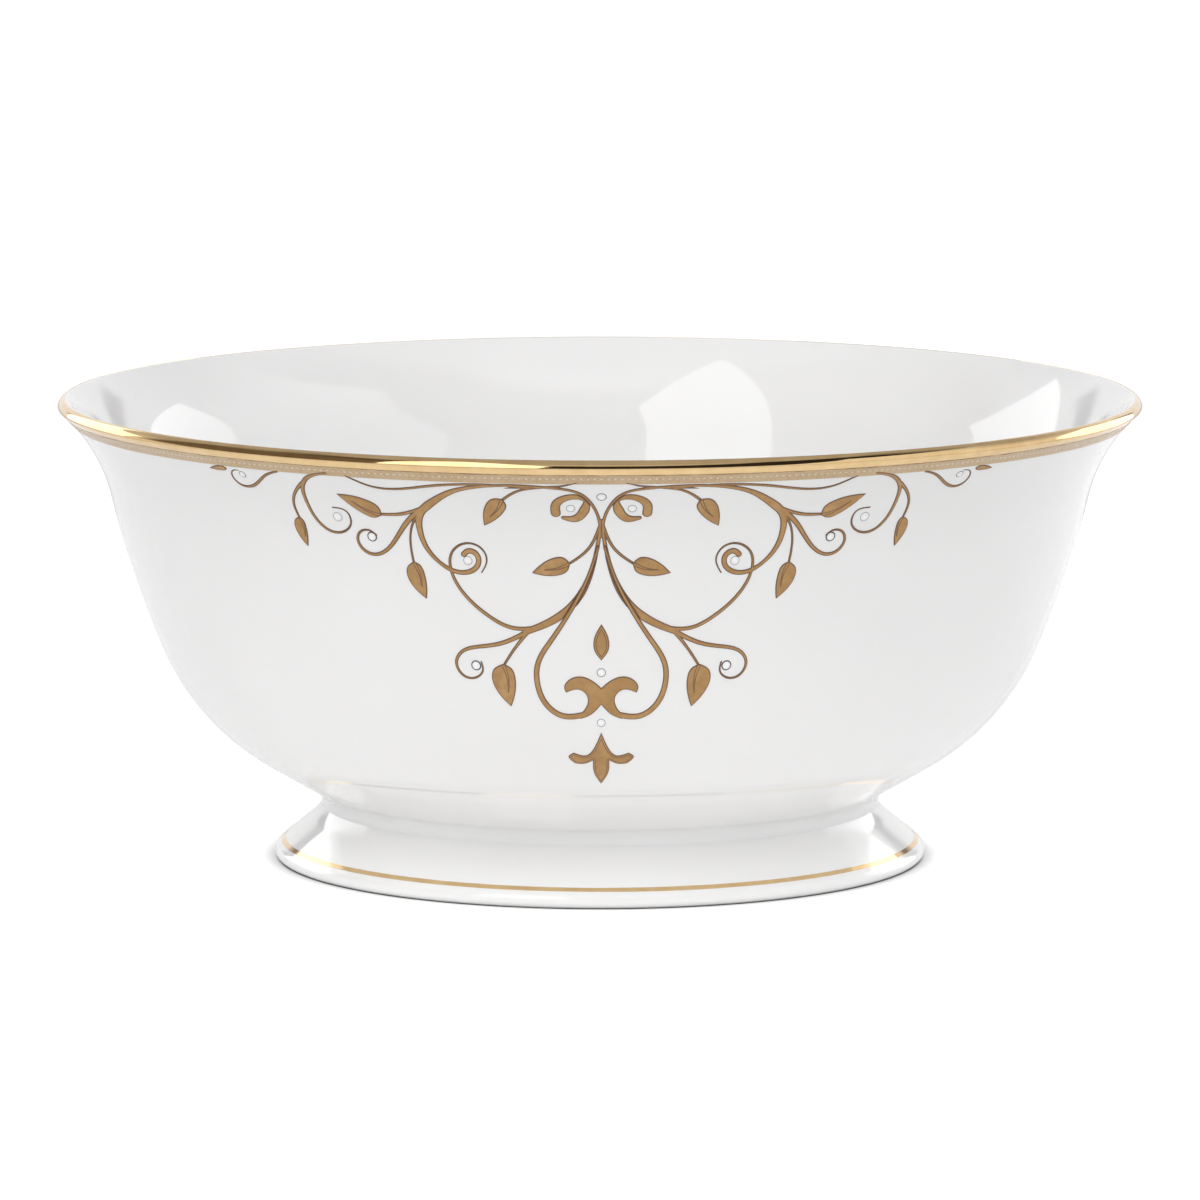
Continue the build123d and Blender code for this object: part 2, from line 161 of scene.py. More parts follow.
def wall(growth):
    """Points of the wall from the flare down to the straight underside, moved out by growth; last heading."""
    heading = heading_down(LIP_LEAN)
    start = lip_arcs()[1] + left_of(heading) * growth
    turns = (
        (FLARE_RADIUS - growth, FLARE_TURN),
        (SIDE_RADIUS + growth, -SIDE_TURN),
        (BELLY_RADIUS + growth, -BELLY_TURN),
    )
    points = [np.array([start])]
    for radius, turn in turns:
        step = min(ARC_STEP, degrees(WALL_STEP / radius))
        part, heading = arc(points[-1][-1], heading, radius, turn, step)
        points.append(part[1:])
    return np.vstack(points), heading


def lip(last):
    """Points of the lip, from the flare's start over its outer edge and top to the direction last."""
    arcs, flare_start = lip_arcs()
    points = [flare_start]
    for centre, radius, start, end in arcs:
        end = min(end, last)
        angles = np.linspace(start, end, max(3, round((end - start) / LIP_STEP)) + 1)
        points.extend(centre + unit(angle) * radius for angle in angles)
    keep = [0] + [i for i in range(1, len(points)) if np.hypot(*(points[i] - points[i - 1])) > TINY]
    return np.array(points)[keep]


def down_to(point, heading, height):
    """Where a line from point along heading comes to a height."""
    return point + unit(heading) * ((height - point[1]) / unit(heading)[1])


def rounded(before, corner, after, radius):
    """Points of the arc that rounds a corner between two straight lines."""
    a, b = before - corner, after - corner
    a, b = a / np.hypot(*a), b / np.hypot(*b)
    half = np.arccos(a @ b) / 2
    centre = corner + (a + b) / np.hypot(*(a + b)) * radius / sin(half)
    first = corner + a * radius / np.tan(half) - centre
    last = corner + b * radius / np.tan(half) - centre
    start, end = atan2(first[1], first[0]), atan2(last[1], last[0])
    sweep = (end - start + pi) % (2 * pi) - pi
    angles = start + sweep * np.linspace(0, 1, CORNER_POINTS)
    return centre + radius * np.stack([np.cos(angles), np.sin(angles)], 1)


def bowl_outline():
    """From the middle of the flat base round the outside, over the lip and down to the floor's middle."""
    outer, heading = wall(0)
    inner, inner_heading = wall(-WALL_THICKNESS)
    corner = down_to(outer[-1], heading, BASE_HEIGHT)
    middle = np.array([0, BASE_HEIGHT])
    base = rounded(middle, corner, outer[-1], BASE_CORNER_RADIUS)
    floor, _ = arc(inner[-1], inner_heading, FLOOR_RADIUS, -(90 - UNDERSIDE_LEAN))
    round_lip = lip(180 - LIP_LEAN)
    axis_end = np.array([[0, floor[-1][1]]])
    return np.vstack([[middle], base, outer[::-1], round_lip[1:-1], inner, floor[1:], axis_end])


def foot_lines():
    """The foot's outer and inner outline, both from the ring up to the neck."""
    ring_outer = np.array([FOOT_RADIUS - FOOT_EDGE_LOW_RADIUS, 0.0])
    low, heading = arc(ring_outer, 0, FOOT_EDGE_LOW_RADIUS, 90, LOW_EDGE_STEP)
    high, heading = arc(low[-1], heading, FOOT_EDGE_HIGH_RADIUS, FOOT_LEAN, HIGH_EDGE_STEP)
    skirt_top = high[-1] + unit(heading) * FOOT_SKIRT_LENGTH
    neck, _ = arc(skirt_top, heading, FOOT_NECK_RADIUS, -FOOT_NECK_TURN)
    inward = left_of(heading) * FOOT_THICKNESS
    inner_neck, _ = arc(skirt_top + inward, heading, FOOT_NECK_RADIUS + FOOT_THICKNESS, -FOOT_NECK_TURN)
    ring_inner = down_to(high[-1] + inward, heading, 0)
    corner = rounded(ring_outer, ring_inner, inner_neck[0], FOOT_RING_CORNER_RADIUS)
    return np.vstack([low, high[1:], neck]), np.vstack([corner, inner_neck])


def neck_corner():
    """Where the foot's outer line meets the bowl's underside, and the headings of both lines away from it."""
    belly, heading = wall(0)
    outer, _ = foot_lines()
    up = heading + 180
    out = left_of(heading)
    depth = (outer - belly[-1]) @ out
    i = int(np.argmax(depth < 0))
    share = depth[i - 1] / (depth[i - 1] - depth[i])
    corner = outer[i - 1] + (outer[i] - outer[i - 1]) * share
    down = degrees(atan2(*(outer[i - 2] - outer[i])[::-1]))
    return corner, up, down


def foot_outline():
    """The foot's closed section, cut off along the underside of the bowl."""
    outer, inner = foot_lines()
    corner, up, _ = neck_corner()

    def below(points):
        return points[(points - corner) @ left_of(up) < 0]

    return np.vstack([below(outer), [corner], below(inner)[::-1]])


def seam_outline():
    """The glazed-over slip: a hollow round in the corner between bowl and foot, closed inside the wall."""
    corner, up, down = neck_corner()
    face = rounded(corner + unit(up) * SEAM_REACH, corner, corner + unit(down) * SEAM_REACH, GLAZE_FILLET)
    buried = corner - (unit(up) + unit(down)) * SEAM_BURIED
    return np.vstack([face, [buried]])


def film_outline(points, thickness):
    """A closed section for a film that lies on points, thinning to nothing at both ends, its underside sunk
    in the glaze."""
    along = np.gradient(points, axis=0)
    out = np.stack([-along[:, 1], along[:, 0]], 1)
    out /= np.hypot(*out.T)[:, None]
    lift = np.full(len(points), thickness)
    lift[0] = lift[-1] = 0
    return np.vstack([points + out * lift[:, None], (points - out * SUNK)[::-1]])


# ---- meshes ----

WAVES = ((3, 0.35), (7, 0.3), (13, 0.2), (29, 0.15))  # how many go round the bowl, and their size


def new_object(name, data):
    """An object of the scene that shows a mesh or is a camera."""
    made = bpy.data.objects.new(name, data)
    bpy.context.scene.collection.objects.link(made)
    return made


def make_object(name, points, loops, sizes, sharp):
    """A mesh from points in millimetres, and faces given as one run of corner indices and each face's corner
    count. Edges sharper than sharp degrees stay sharp."""
    mesh = bpy.data.meshes.new(name)
    mesh.vertices.add(len(points))
    mesh.vertices.foreach_set("co", (np.asarray(points) / METRE).ravel())
    mesh.loops.add(len(loops))
    mesh.loops.foreach_set("vertex_index", loops)
    mesh.polygons.add(len(sizes))
    mesh.polygons.foreach_set("loop_start", np.concatenate([[0], np.cumsum(sizes)[:-1]]))
    mesh.polygons.foreach_set("loop_total", sizes)
    mesh.update(calc_edges=True)
    mesh.validate()
    mesh.shade_smooth()
    mesh.set_sharp_from_angle(angle=radians(sharp))
    return new_object(name, mesh)


def store(piece, name, values):
    """A number at each point of a mesh, for its material to read."""
    attribute = piece.data.attributes.new(name, "FLOAT", "POINT")
    attribute.data.foreach_set("value", np.asarray(values, np.float32))


def facing_out(piece, on_axis=False):
    """Turns the faces of a closed mesh outwards, after joining its coincident points on the axis."""
    work = bmesh.new()
    work.from_mesh(piece.data)
    if on_axis:
        poles = [v for v in work.verts if hypot(v.co.x, v.co.y) < TINY / 10]
        bmesh.ops.remove_doubles(work, verts=poles, dist=TINY)
    bmesh.ops.recalc_face_normals(work, faces=work.faces)
    work.to_mesh(piece.data)
    work.free()
    return piece


def wavering(angles, seed):
    """A hand-laid edge's small wander round the bowl, about -1 to 1."""
    return sum(size * np.sin(count * angles + seed * count) for count, size in WAVES)


def lathe(name, section, *seeds):
    """Turns a closed outline about the axis. Seeds make it waver: section is then a function that gives the
    outline for one wander of each seed."""
    angles = np.arange(SEGMENTS) * 2 * pi / SEGMENTS
    wanders = zip(*[wavering(angles, seed) for seed in seeds])
    rings = np.array([section(*wander) for wander in wanders] if seeds else [section] * SEGMENTS)
    count = rings.shape[1]
    points = np.stack([
        rings[..., 0] * np.sin(angles)[:, None],
        -rings[..., 0] * np.cos(angles)[:, None],
        rings[..., 1],
    ], 2).reshape(-1, 3)
    i, k = np.meshgrid(np.arange(SEGMENTS), np.arange(count), indexing="ij")
    following, beside = (k + 1) % count, (i + 1) % SEGMENTS
    corners = (i * count + k, i * count + following, beside * count + following, beside * count + k)
    quads = np.stack(corners, 2)
    pole = rings[0, :, 0] < TINY
    both_poles = pole & np.roll(pole, -1)
    quads = quads[:, ~both_poles].reshape(-1, 4)
    piece = make_object(name, points, quads.ravel(), np.full(len(quads), 4), TURNED_CREASE)
    return facing_out(piece, on_axis=pole.any())


# ---- the flat drawing and the wall ----

def wall_table():
    """Closely spaced points of the outer wall, their distance down it, and the directions out of it."""
    points, _ = wall(0)
    fine = [points[0]]
    for a, b in zip(points[:-1], points[1:]):
        fine.extend(a + (b - a) * t for t in (0.5, 1.0))
    points = np.array(fine)
    along = np.gradient(points, axis=0)
    along /= np.hypot(*along.T)[:, None]
    length = np.concatenate([[0], np.cumsum(np.hypot(*np.diff(points, axis=0).T))])
    return length, points, np.stack([-along[:, 1], along[:, 0]], 1)


WALL_LENGTH, WALL_POINTS, WALL_OUT = wall_table()


def on_wall(x, y, lift):
    """Points of the flat drawing laid on the front of the bowl, lifted off it by lift."""
    down = BORDER_BOTTOM + np.asarray(y, float)

    def look_up(values):
        return np.interp(down, WALL_LENGTH, values)

    radius = look_up(WALL_POINTS[:, 0]) + look_up(WALL_OUT[:, 0]) * lift
    height = look_up(WALL_POINTS[:, 1]) + look_up(WALL_OUT[:, 1]) * lift
    around = np.asarray(x, float) / DRAWING_RADIUS
    return np.stack([radius * np.sin(around), -radius * np.cos(around), height], -1)


def smooth_line(points):
    """A natural cubic spline through points: closely spaced points, and their shares of the way."""
    points = np.array(points, float)
    knots = np.concatenate([[0], np.cumsum(np.hypot(*np.diff(points, axis=0).T))])
    gaps = np.diff(knots)
    count = len(points)
    system = np.eye(count)
    right = np.zeros((count, 2))
    for i in range(1, count - 1):
        system[i, i - 1:i + 2] = gaps[i - 1], 2 * (gaps[i - 1] + gaps[i]), gaps[i]
        right[i] = 6 * ((points[i + 1] - points[i]) / gaps[i] - (points[i] - points[i - 1]) / gaps[i - 1])
    bend = np.linalg.solve(system, right)
    t = np.linspace(0, knots[-1], max(6, round(knots[-1] / SPLINE_STEP)) + 1)
    i = np.clip(np.searchsorted(knots, t, side="right") - 1, 0, count - 2)
    gap = gaps[i][:, None]
    u = (t - knots[i])[:, None]
    v = gap - u
    line = (bend[i] * v**3 + bend[i + 1] * u**3) / (6 * gap)
    line += (points[i] / gap - bend[i] * gap / 6) * v
    line += (points[i + 1] / gap - bend[i + 1] * gap / 6) * u
    return line, t / knots[-1]


# ---- depth fields: how far inside an outline each point of the drawing's grid lies ----

GRID_HALF_WIDTH = 90.0
GRID_TOP, GRID_BOTTOM = -1.2, 78.5
OUTSIDE = -9.0
NEAR = 1.3  # how far outside an outline its field is worked out

columns = round(GRID_HALF_WIDTH / CELL)
GRID_X = np.arange(-columns, columns + 1) * CELL
GRID_Y = np.arange(round(GRID_TOP / CELL), round(GRID_BOTTOM / CELL) + 1) * CELL


def empty_field():
    return np.full((len(GRID_Y), len(GRID_X)), OUTSIDE)


def window(low, high):
    """The part of the grid within a box."""
    x0, x1 = np.searchsorted(GRID_X, (low[0], high[0]))
    y0, y1 = np.searchsorted(GRID_Y, (low[1], high[1]))
    return slice(y0, y1), slice(x0, x1)


def away(rows, cols, a, b):
    """Distance of a window's points from the line between a and b, and the nearest point's share along it."""
    px = GRID_X[cols][None, :] - a[0]
    py = GRID_Y[rows][:, None] - a[1]
    along = b - a
    share = np.clip((px * along[0] + py * along[1]) / max(along @ along, TINY**2), 0, 1)
    return np.hypot(px - share * along[0], py - share * along[1]), share


def stroke_field(field, points, widths):
    """Adds a stroke: its centre line, and its widths at even steps from start to end."""
    line, t = smooth_line(points)
    width = np.interp(t, np.linspace(0, 1, len(widths)), widths)
    for a, b, wide_a, wide_b in zip(line[:-1], line[1:], width[:-1], width[1:]):
        reach = NEAR + max(wide_a, wide_b) / 2
        rows, cols = window(np.minimum(a, b) - reach, np.maximum(a, b) + reach)
        distance, share = away(rows, cols, a, b)
        depth = (wide_a + (wide_b - wide_a) * share) / 2 - distance
        field[rows, cols] = np.maximum(field[rows, cols], depth)
    return field


def outline_field(field, outline):
    """Adds the inside of a closed outline."""
    outline = np.asarray(outline, float)
    rows, cols = window(outline.min(0) - NEAR, outline.max(0) + NEAR)
    px = GRID_X[cols][None, :]
    py = GRID_Y[rows][:, None]
    nearest = np.full((py.size, px.size), -OUTSIDE)
    inside = np.zeros(nearest.shape, bool)
    for a, b in zip(outline, np.roll(outline, -1, axis=0)):
        nearest = np.minimum(nearest, away(rows, cols, a, b)[0])
        if a[1] != b[1]:
            crosses = (py < a[1]) != (py < b[1])
            inside ^= crosses & (px < a[0] + (py - a[1]) / (b[1] - a[1]) * (b[0] - a[0]))
    depth = np.where(inside, nearest, -nearest)
    field[rows, cols] = np.maximum(field[rows, cols], depth)
    return field


def mirrored(field):
    """The field together with its mirror image about the centre line."""
    return np.maximum(field, field[:, ::-1])


# ---- raised gold: a film whose outline is where a depth field crosses zero ----

def cut_grid(depth):
    """Triangles and quads that fill where depth is above zero, and the ends of the grid edges it crosses zero
    on. A corner's number past the last grid point counts those crossings."""
    height, width = depth.shape
    ids = np.arange(height * width).reshape(height, width)
    a, b, c, d = ids[:-1, :-1], ids[:-1, 1:], ids[1:, 1:], ids[1:, :-1]
    halves = [np.stack(corners, 2).reshape(-1, 3) for corners in ((a, b, c), (a, c, d))]
    triangles = np.concatenate(halves)
    inside = depth.ravel() > 0
    within = inside[triangles]
    count = within.sum(1)
    whole = triangles[count == 3]
    odd_one = {1: within, 2: ~within}
    turned = {}
    for kind in (1, 2):
        chosen = count == kind
        first = np.argmax(odd_one[kind][chosen], 1)
        order = (first[:, None] + np.arange(3)) % 3
        turned[kind] = np.take_along_axis(triangles[chosen], order, 1)
    total = height * width

    def edge_key(p, q):
        return np.minimum(p, q) * total + np.maximum(p, q)

    tips = [edge_key(turned[1][:, 0], turned[1][:, k]) for k in (1, 2)]
    quads = [edge_key(turned[2][:, 0], turned[2][:, k]) for k in (1, 2)]
    keys, places = np.unique(np.concatenate(tips + quads), return_inverse=True)
    places = np.split(places + total, np.cumsum([len(k) for k in tips + quads])[:-1])
    small = np.stack([turned[1][:, 0], places[0], places[1]], 1)
    large = np.stack([turned[2][:, 1], turned[2][:, 2], places[3], places[2]], 1)
    return whole, small, large, keys // total, keys % total


def film_piece(name, depth, height, line_distance):
    """A closed film on the wall where depth is above zero. The other fields are its thickness and how far off
    the nearest ink line is."""
    whole, small, large, p, q = cut_grid(depth)
    flat_x, flat_y = (g.ravel() for g in np.meshgrid(GRID_X, GRID_Y))
    share = depth.ravel()[p] / (depth.ravel()[p] - depth.ravel()[q])
    x = np.concatenate([flat_x, flat_x[p] + (flat_x[q] - flat_x[p]) * share])
    y = np.concatenate([flat_y, flat_y[p] + (flat_y[q] - flat_y[p]) * share])
    rim = np.zeros(len(p))
    lift = np.concatenate([height.ravel(), rim])
    line = np.concatenate([line_distance.ravel(), rim])
    used = np.unique(np.concatenate([whole.ravel(), small.ravel(), large.ravel()]))
    new_id = np.full(len(x), -1)
    new_id[used] = np.arange(len(used))
    count = len(used)
    top_triangles = new_id[np.vstack([whole, small])]
    top_quads = new_id[large]
    sides = wall_quads(top_triangles, top_quads, count)
    points = np.concatenate([
        on_wall(x[used], y[used], lift[used]),
        on_wall(x[used], y[used], -SUNK),
    ])
    triangles = np.vstack([top_triangles, top_triangles[:, ::-1] + count])
    quads = np.vstack([top_quads, top_quads[:, ::-1] + count, sides])
    loops = np.concatenate([triangles.ravel(), quads.ravel()])
    sizes = np.concatenate([np.full(len(triangles), 3), np.full(len(quads), 4)])
    piece = facing_out(make_object(name, points, loops, sizes, FILM_CREASE))
    store(piece, "line_distance", np.concatenate([line[used], np.zeros(count)]))
    return piece


def wall_quads(triangles, quads, count):
    """Faces that join the edge of the top to the edge of the underside, whose points are count further on."""
    edges = [triangles[:, [i, (i + 1) % 3]] for i in range(3)]
    edges += [quads[:, [i, (i + 1) % 4]] for i in range(4)]
    edges = np.vstack(edges)
    keys = np.sort(edges, 1) @ [4 * count, 1]
    _, first, seen = np.unique(keys, return_index=True, return_counts=True)
    a, b = edges[first[seen == 1]].T
    return np.stack([b, a, a + count, b + count], 1)


def shoulder(depth):
    """The film's rounded edge: 0 at the outline, rising to 1."""
    rest = 1 - np.clip(depth / FILM_SHOULDER, 0, 1)
    return np.sqrt(1 - rest**2)


# ---- the ornament's right half: x to the right of its centre line, y down the wall from the border ----

# Strokes: the points that a centre line runs through, and the widths at even steps along it.
VINES = {
    "arm_and_inner_spiral": (
        [(0.2, 14), (0.4, 10.5), (1.6, 6.6), (4.5, 2.8), (9.5, 1.3), (24, 1.1), (30.5, 3.0), (35.4, 6.4),
         (38.3, 9.4), (39.0, 13), (38.0, 17.3), (35.3, 20.6), (32, 22.5), (28.8, 22.5), (26.7, 20.8),
         (26.9, 18.5), (28.6, 17.8), (29.7, 18.6)],
        (0.7, 0.7, 0.8, 0.8, 0.9, 1.3, 2.0, 1.4, 0.9, 1.2, 1.3),
    ),
    "border_tail": ([(4.9, -0.4), (7.4, 0.5), (11, 1.0), (15, 1.2)], (0.3, 0.7, 0.5)),
    "short_tail": ([(14.5, 1.3), (17, 1.3), (19.6, 1.6)], (0.8, 0.6, 0.1)),
    "upper_vine": (
        [(14, 1.2), (24, 0.6), (35, 1.6), (43.5, 3.0), (48, 2.4), (52.5, -0.2)],
        (0.6, 0.8, 0.5),
    ),
    "first_leaf_stem": ([(12, 1.2), (16.5, 2.2), (20.4, 5.2)], (0.6, 0.7, 0.7)),
    "second_leaf_stem": ([(36.4, 7.2), (38.9, 8.4), (42.3, 9.6), (47.6, 10.0)], (0.8, 0.9, 0.7)),
    "third_leaf_stem": ([(38.4, 8.9), (40.4, 12), (41.5, 16), (41.2, 21.2)], (0.7, 0.5, 0.6)),
    "outer_curl": (
        [(37.8, 8.0), (41.5, 11.5), (44.5, 15.4), (47, 18.2), (50, 19.6), (52.9, 18.7), (54, 16.4),
         (52.9, 14.5), (50.7, 14.2), (49.3, 15.2)],
        (1.2, 1.2, 1.0, 0.8, 0.7, 0.35),
    ),
    "right_curl": (
        [(57, -0.7), (61.5, 0.9), (64.2, 4), (64.7, 8), (63.3, 12.6), (60.3, 15), (57, 14.8), (54.9, 12.5),
         (55.4, 9.9), (58.6, 9.1)],
        (0.8, 1.1, 0.9, 0.7, 0.5, 0.3),
    ),
    "fourth_leaf_stem": ([(64, 3), (66.6, 5.6), (68.3, 9), (67.8, 12.8)], (0.9, 0.7, 0.6)),
    "far_curl": (
        [(69, 0.1), (72, 1.3), (75.2, 3.6), (78.4, 5.4), (81.4, 5), (82.3, 2.8), (80.9, 1.1), (79.4, 1.0)],
        (0.6, 0.8, 0.2),
    ),
    "fifth_leaf_stem": ([(0.4, 11.5), (2.6, 16.6), (7.2, 20.4)], (0.7, 0.7, 0.6)),
    "lower_stem": (
        [(0.2, 10), (0.5, 14), (1.8, 20.5), (4.8, 27.6), (9.2, 32.2), (14, 34.8), (17, 36)],
        (0.7, 1.0, 1.6, 1.9, 1.5),
    ),
    "outer_spiral": (
        [(14.5, 35), (20, 35.1), (25, 32.6), (30, 28), (32.7, 22.8), (32.4, 18.4), (29.2, 16.1),
         (26, 16.9), (24.7, 19.6), (26.0, 22.6)],
        (1.0, 0.8, 0.3),
    ),
    "lower_curl": (
        [(15.5, 35.3), (18.5, 37), (23, 38.9), (28, 39.8), (32.2, 41.2), (33.8, 44), (32.2, 47),
         (29.4, 47.2), (27.7, 45.6), (27.8, 43.4)],
        (1.2, 0.9, 0.4),
    ),
    "sixth_leaf_stem": ([(16, 35.5), (19.4, 39.6), (22.9, 44.6)], (1.0, 0.7, 0.6)),
}
HEART_LOOP = (
    [(0.7, 16.5), (3, 23.5), (6.8, 31), (11.5, 38.2), (14.6, 43.6), (14.9, 48.6), (12.9, 53.6), (9, 56.2),
     (4.6, 55.9)],
    (0.7, 0.9, 1.2, 1.4, 1.5),
)
C_SCROLLS = [
    ([(2.4, 5.6), (4.6, 3.9), (7.4, 4.2), (9.3, 6.0), (9.4, 8.2)], (0.7, 1.5, 1.9, 2.1)),
    ([(2.9, 4.9), (3.6, 7.6), (5.2, 9.5), (7.9, 9.4)], (1.3, 2.2, 1.9, 0.9)),
]
# Leaves: where the stem joins, the tip, and how far each side bulges from the line between them.
LEAVES = [
    ((20.2, 4.7), (24.7, 11.8), 1.9, 2.2),
    ((47.1, 10.3), (56.5, 5.3), 1.9, 2.2),
    ((41.3, 20.7), (39.1, 29.2), 1.6, 2.6),
    ((67.8, 12.1), (67.1, 19.1), 0.9, 2.2),
    ((6.7, 20.1), (15.0, 22.4), 2.0, 2.1),
    ((22.7, 43.7), (21.6, 54.1), 2.3, 3.3),
]
END_LEAF = ((82.6, 0.7), (88.0, 1.3), 0.7, 0.9)
# A leaf's side as (share along the leaf, share of the bulge).
LEAF_SHAPE = ((0, 0), (0.12, 0.78), (0.36, 1), (0.62, 0.8), (0.85, 0.38), (1, 0))
LEAF_VEIN = (0.66, 0.75, 0.05)  # share of the leaf it runs into, its width at the stem, and at its end
LEAF_VEIN_BOW = 0.05  # share of the leaf's length by which its middle stands off the straight line
# Outlines of the pieces on the centre line: the right side, from top to bottom.
LOBE_TOP = [(0, 49.2), (1.7, 47.7), (4.9, 46.4), (7.6, 47.3), (8.7, 49.2), (8.3, 50.4)]
LOBE_INNER = [(8.3, 50.4), (5.0, 49.7), (3.3, 51.4), (3.7, 54.0), (5.4, 55.9)]
LOBE_BOTTOM = [(5.0, 56.9), (2.6, 55.9), (0, 53.3)]
DROP_SIDE = [(0, 34.0), (1.5, 36.9), (1.6, 40.2), (0, 42.6)]
FINIAL_NECK = [(0, 60.4), (1.3, 63.7), (3.9, 67.0), (7.0, 66.2)]
FINIAL_ARM_END = [(7.0, 66.2), (8.4, 67.3), (6.8, 69.5)]
FINIAL_ARM = [(6.8, 69.5), (4.6, 69.7), (2.1, 68.6)]
FINIAL_FOOT = [(2.1, 68.6), (2.0, 72.2), (0, 76.6)]
# Enamel dots: place, radius, and how dark the ring round each is: a drawn outline that also paints the shade
# at the drop's edge.
SIDE_DOTS = [
    (6.3, 7.0, 0.95, 0.35),
    (28.9, 20.0, 1.0, 0.3),
    (50.4, 15.6, 1.15, 1.0),
    (57.9, 11.4, 1.1, 0.3),
    (79.0, 2.1, 0.9, 0.6),
    (29.1, 44.3, 1.2, 1.0),
]
CENTRE_DOTS = [(0, 3.8, 1.05, 0.6), (0, 45.5, 1.05, 0.5), (0, 57.9, 1.05, 0.4)]


def leaf_side(base, tip, bulge):
    """One side of a leaf from stem to tip. A positive bulge is to the right of the way to the tip."""
    base, tip = np.array(base), np.array(tip)
    along = tip - base
    across = np.array([-along[1], along[0]]) / np.hypot(*along)
    return smooth_line([base + along * t + across * bulge * share for t, share in LEAF_SHAPE])[0]


def leaf_outline(base, tip, left_bulge, right_bulge):
    """Up the left side of a leaf and down the right."""
    return np.vstack([leaf_side(base, tip, left_bulge)[:-1], leaf_side(base, tip, -right_bulge)[:0:-1]])


def both_sides(*lines):
    """A closed outline from smooth lines down its right side, with their mirror image."""
    right = np.vstack([smooth_line(line)[0] if len(line) > 2 else np.array(line) for line in lines])
    return np.vstack([right, (right * (-1, 1))[::-1]])


def ornament_fields():
    """The depth field of each kind of piece, and that of the veins inked in the leaves."""
    vines = empty_field()
    for points, widths in VINES.values():
        stroke_field(vines, points, widths)
    leaves = empty_field()
    veins = empty_field()
    for base, tip, left_bulge, right_bulge in LEAVES:
        outline_field(leaves, leaf_outline(base, tip, left_bulge, right_bulge))
        share, start, end = LEAF_VEIN
        base, tip = np.array(base), np.array(tip)
        along = tip - base
        bow = np.array([-along[1], along[0]]) * LEAF_VEIN_BOW
        middle = base + along * share / 2 + bow
        stroke_field(veins, [base, middle, base + along * share], (start, (start + end) / 2, end))
    outline_field(leaves, leaf_outline(*END_LEAF))
    scroll = stroke_field(empty_field(), *HEART_LOOP)
    scroll = outline_field(mirrored(scroll), both_sides(LOBE_TOP, LOBE_INNER, LOBE_BOTTOM))
    c_scrolls = empty_field()
    for points, widths in C_SCROLLS:
        stroke_field(c_scrolls, points, widths)
    drops = outline_field(empty_field(), both_sides(DROP_SIDE))
    drops = outline_field(drops, both_sides(FINIAL_NECK, FINIAL_ARM_END, FINIAL_ARM, FINIAL_FOOT))
    vines, leaves, veins, c_scrolls = (mirrored(field) for field in (vines, leaves, veins, c_scrolls))
    vines = np.minimum(vines, -np.maximum(scroll, leaves))
    c_scrolls = np.minimum(c_scrolls, -vines)
    pieces = {
        "vine_scrolls": vines,
        "leaves": leaves,
        "centre_scroll": scroll,
        "c_scrolls": c_scrolls,
        "drop_ornaments": drops,
    }
    return pieces, veins


def half_turn(piece):
    """A copy of a piece on the other side of the bowl."""
    copy = new_object(piece.name.replace("front", "back"), piece.data.copy())
    copy.data.transform(Matrix.Diagonal((-1, -1, 1, 1)))
    return copy


def dome_piece(name, places, segments, rings):
    """Low domes on the wall. places gives each one's (x, y, radius, height, mark), and rings the shape they
    share as (share of the radius out, share of the height up)."""
    turn = np.arange(segments)
    beside = (turn + 1) % segments
    angles = turn * 2 * pi / segments
    points = []
    for x, y, radius, height, _ in places:
        points.append(on_wall([x], [y], height * rings[0][1]))
        for out, up in rings[1:]:
            ring_x = x + radius * out * np.cos(angles)
            ring_y = y + radius * out * np.sin(angles)
            points.append(on_wall(ring_x, ring_y, height * up if up >= 0 else -SUNK))
    quad_rings = len(rings) - 2
    loops = [np.stack([0 * turn, 1 + turn, 1 + beside], 1).ravel()]
    for a in 1 + segments * np.arange(quad_rings):
        b = a + segments
        loops.append(np.stack([a + turn, b + turn, b + beside, a + beside], 1).ravel())
    loops.append((1 + quad_rings * segments + turn)[::-1])
    sizes = [3] * segments + [4] * segments * quad_rings + [segments]
    shares = [0] + [out for out, _ in rings[1:] for _ in turn]
    first_points = np.arange(len(places))[:, None] * len(shares)
    loops = (first_points + np.concatenate(loops)).ravel()
    sizes = np.tile(sizes, len(places))
    piece = facing_out(make_object(name, np.vstack(points), loops, sizes, DOME_CREASE))
    store(piece, "mark", np.repeat([place[-1] for place in places], len(shares)))
    store(piece, "share", np.tile(shares, len(places)))
    return piece


# ---- materials ----

def new_material(name, **sockets):
    """A Principled material with some sockets set, and its node tree."""
    made = bpy.data.materials.new(name)
    made.use_nodes = True
    tree = made.node_tree
    shader = tree.nodes["Principled BSDF"]
    for socket, value in sockets.items():
        shader.inputs[socket.replace("_", " ")].default_value = value
    return made, tree, shader


def connect(tree, shader, **sockets):
    """Drives the shader's sockets, by name with _ for each space."""
    for socket, value in sockets.items():
        tree.links.new(value, shader.inputs[socket.replace("_", " ")])


def add_node(tree, kind, inputs=(), **settings):
    node = tree.nodes.new(kind)
    for key, value in settings.items():
        setattr(node, key, value)
    for socket, value in dict(inputs).items():
        if isinstance(value, bpy.types.NodeSocket):
            tree.links.new(value, node.inputs[socket])
        else:
            node.inputs[socket].default_value = value
    return node


def place_in_object(tree, stretch=(1, 1, 1)):
    """The place on the surface, in metres, times a stretch along each axis."""
    coordinates = add_node(tree, "ShaderNodeTexCoord")
    mapping = add_node(tree, "ShaderNodeMapping", {"Vector": coordinates.outputs["Object"], "Scale": stretch})
    return mapping.outputs["Vector"]


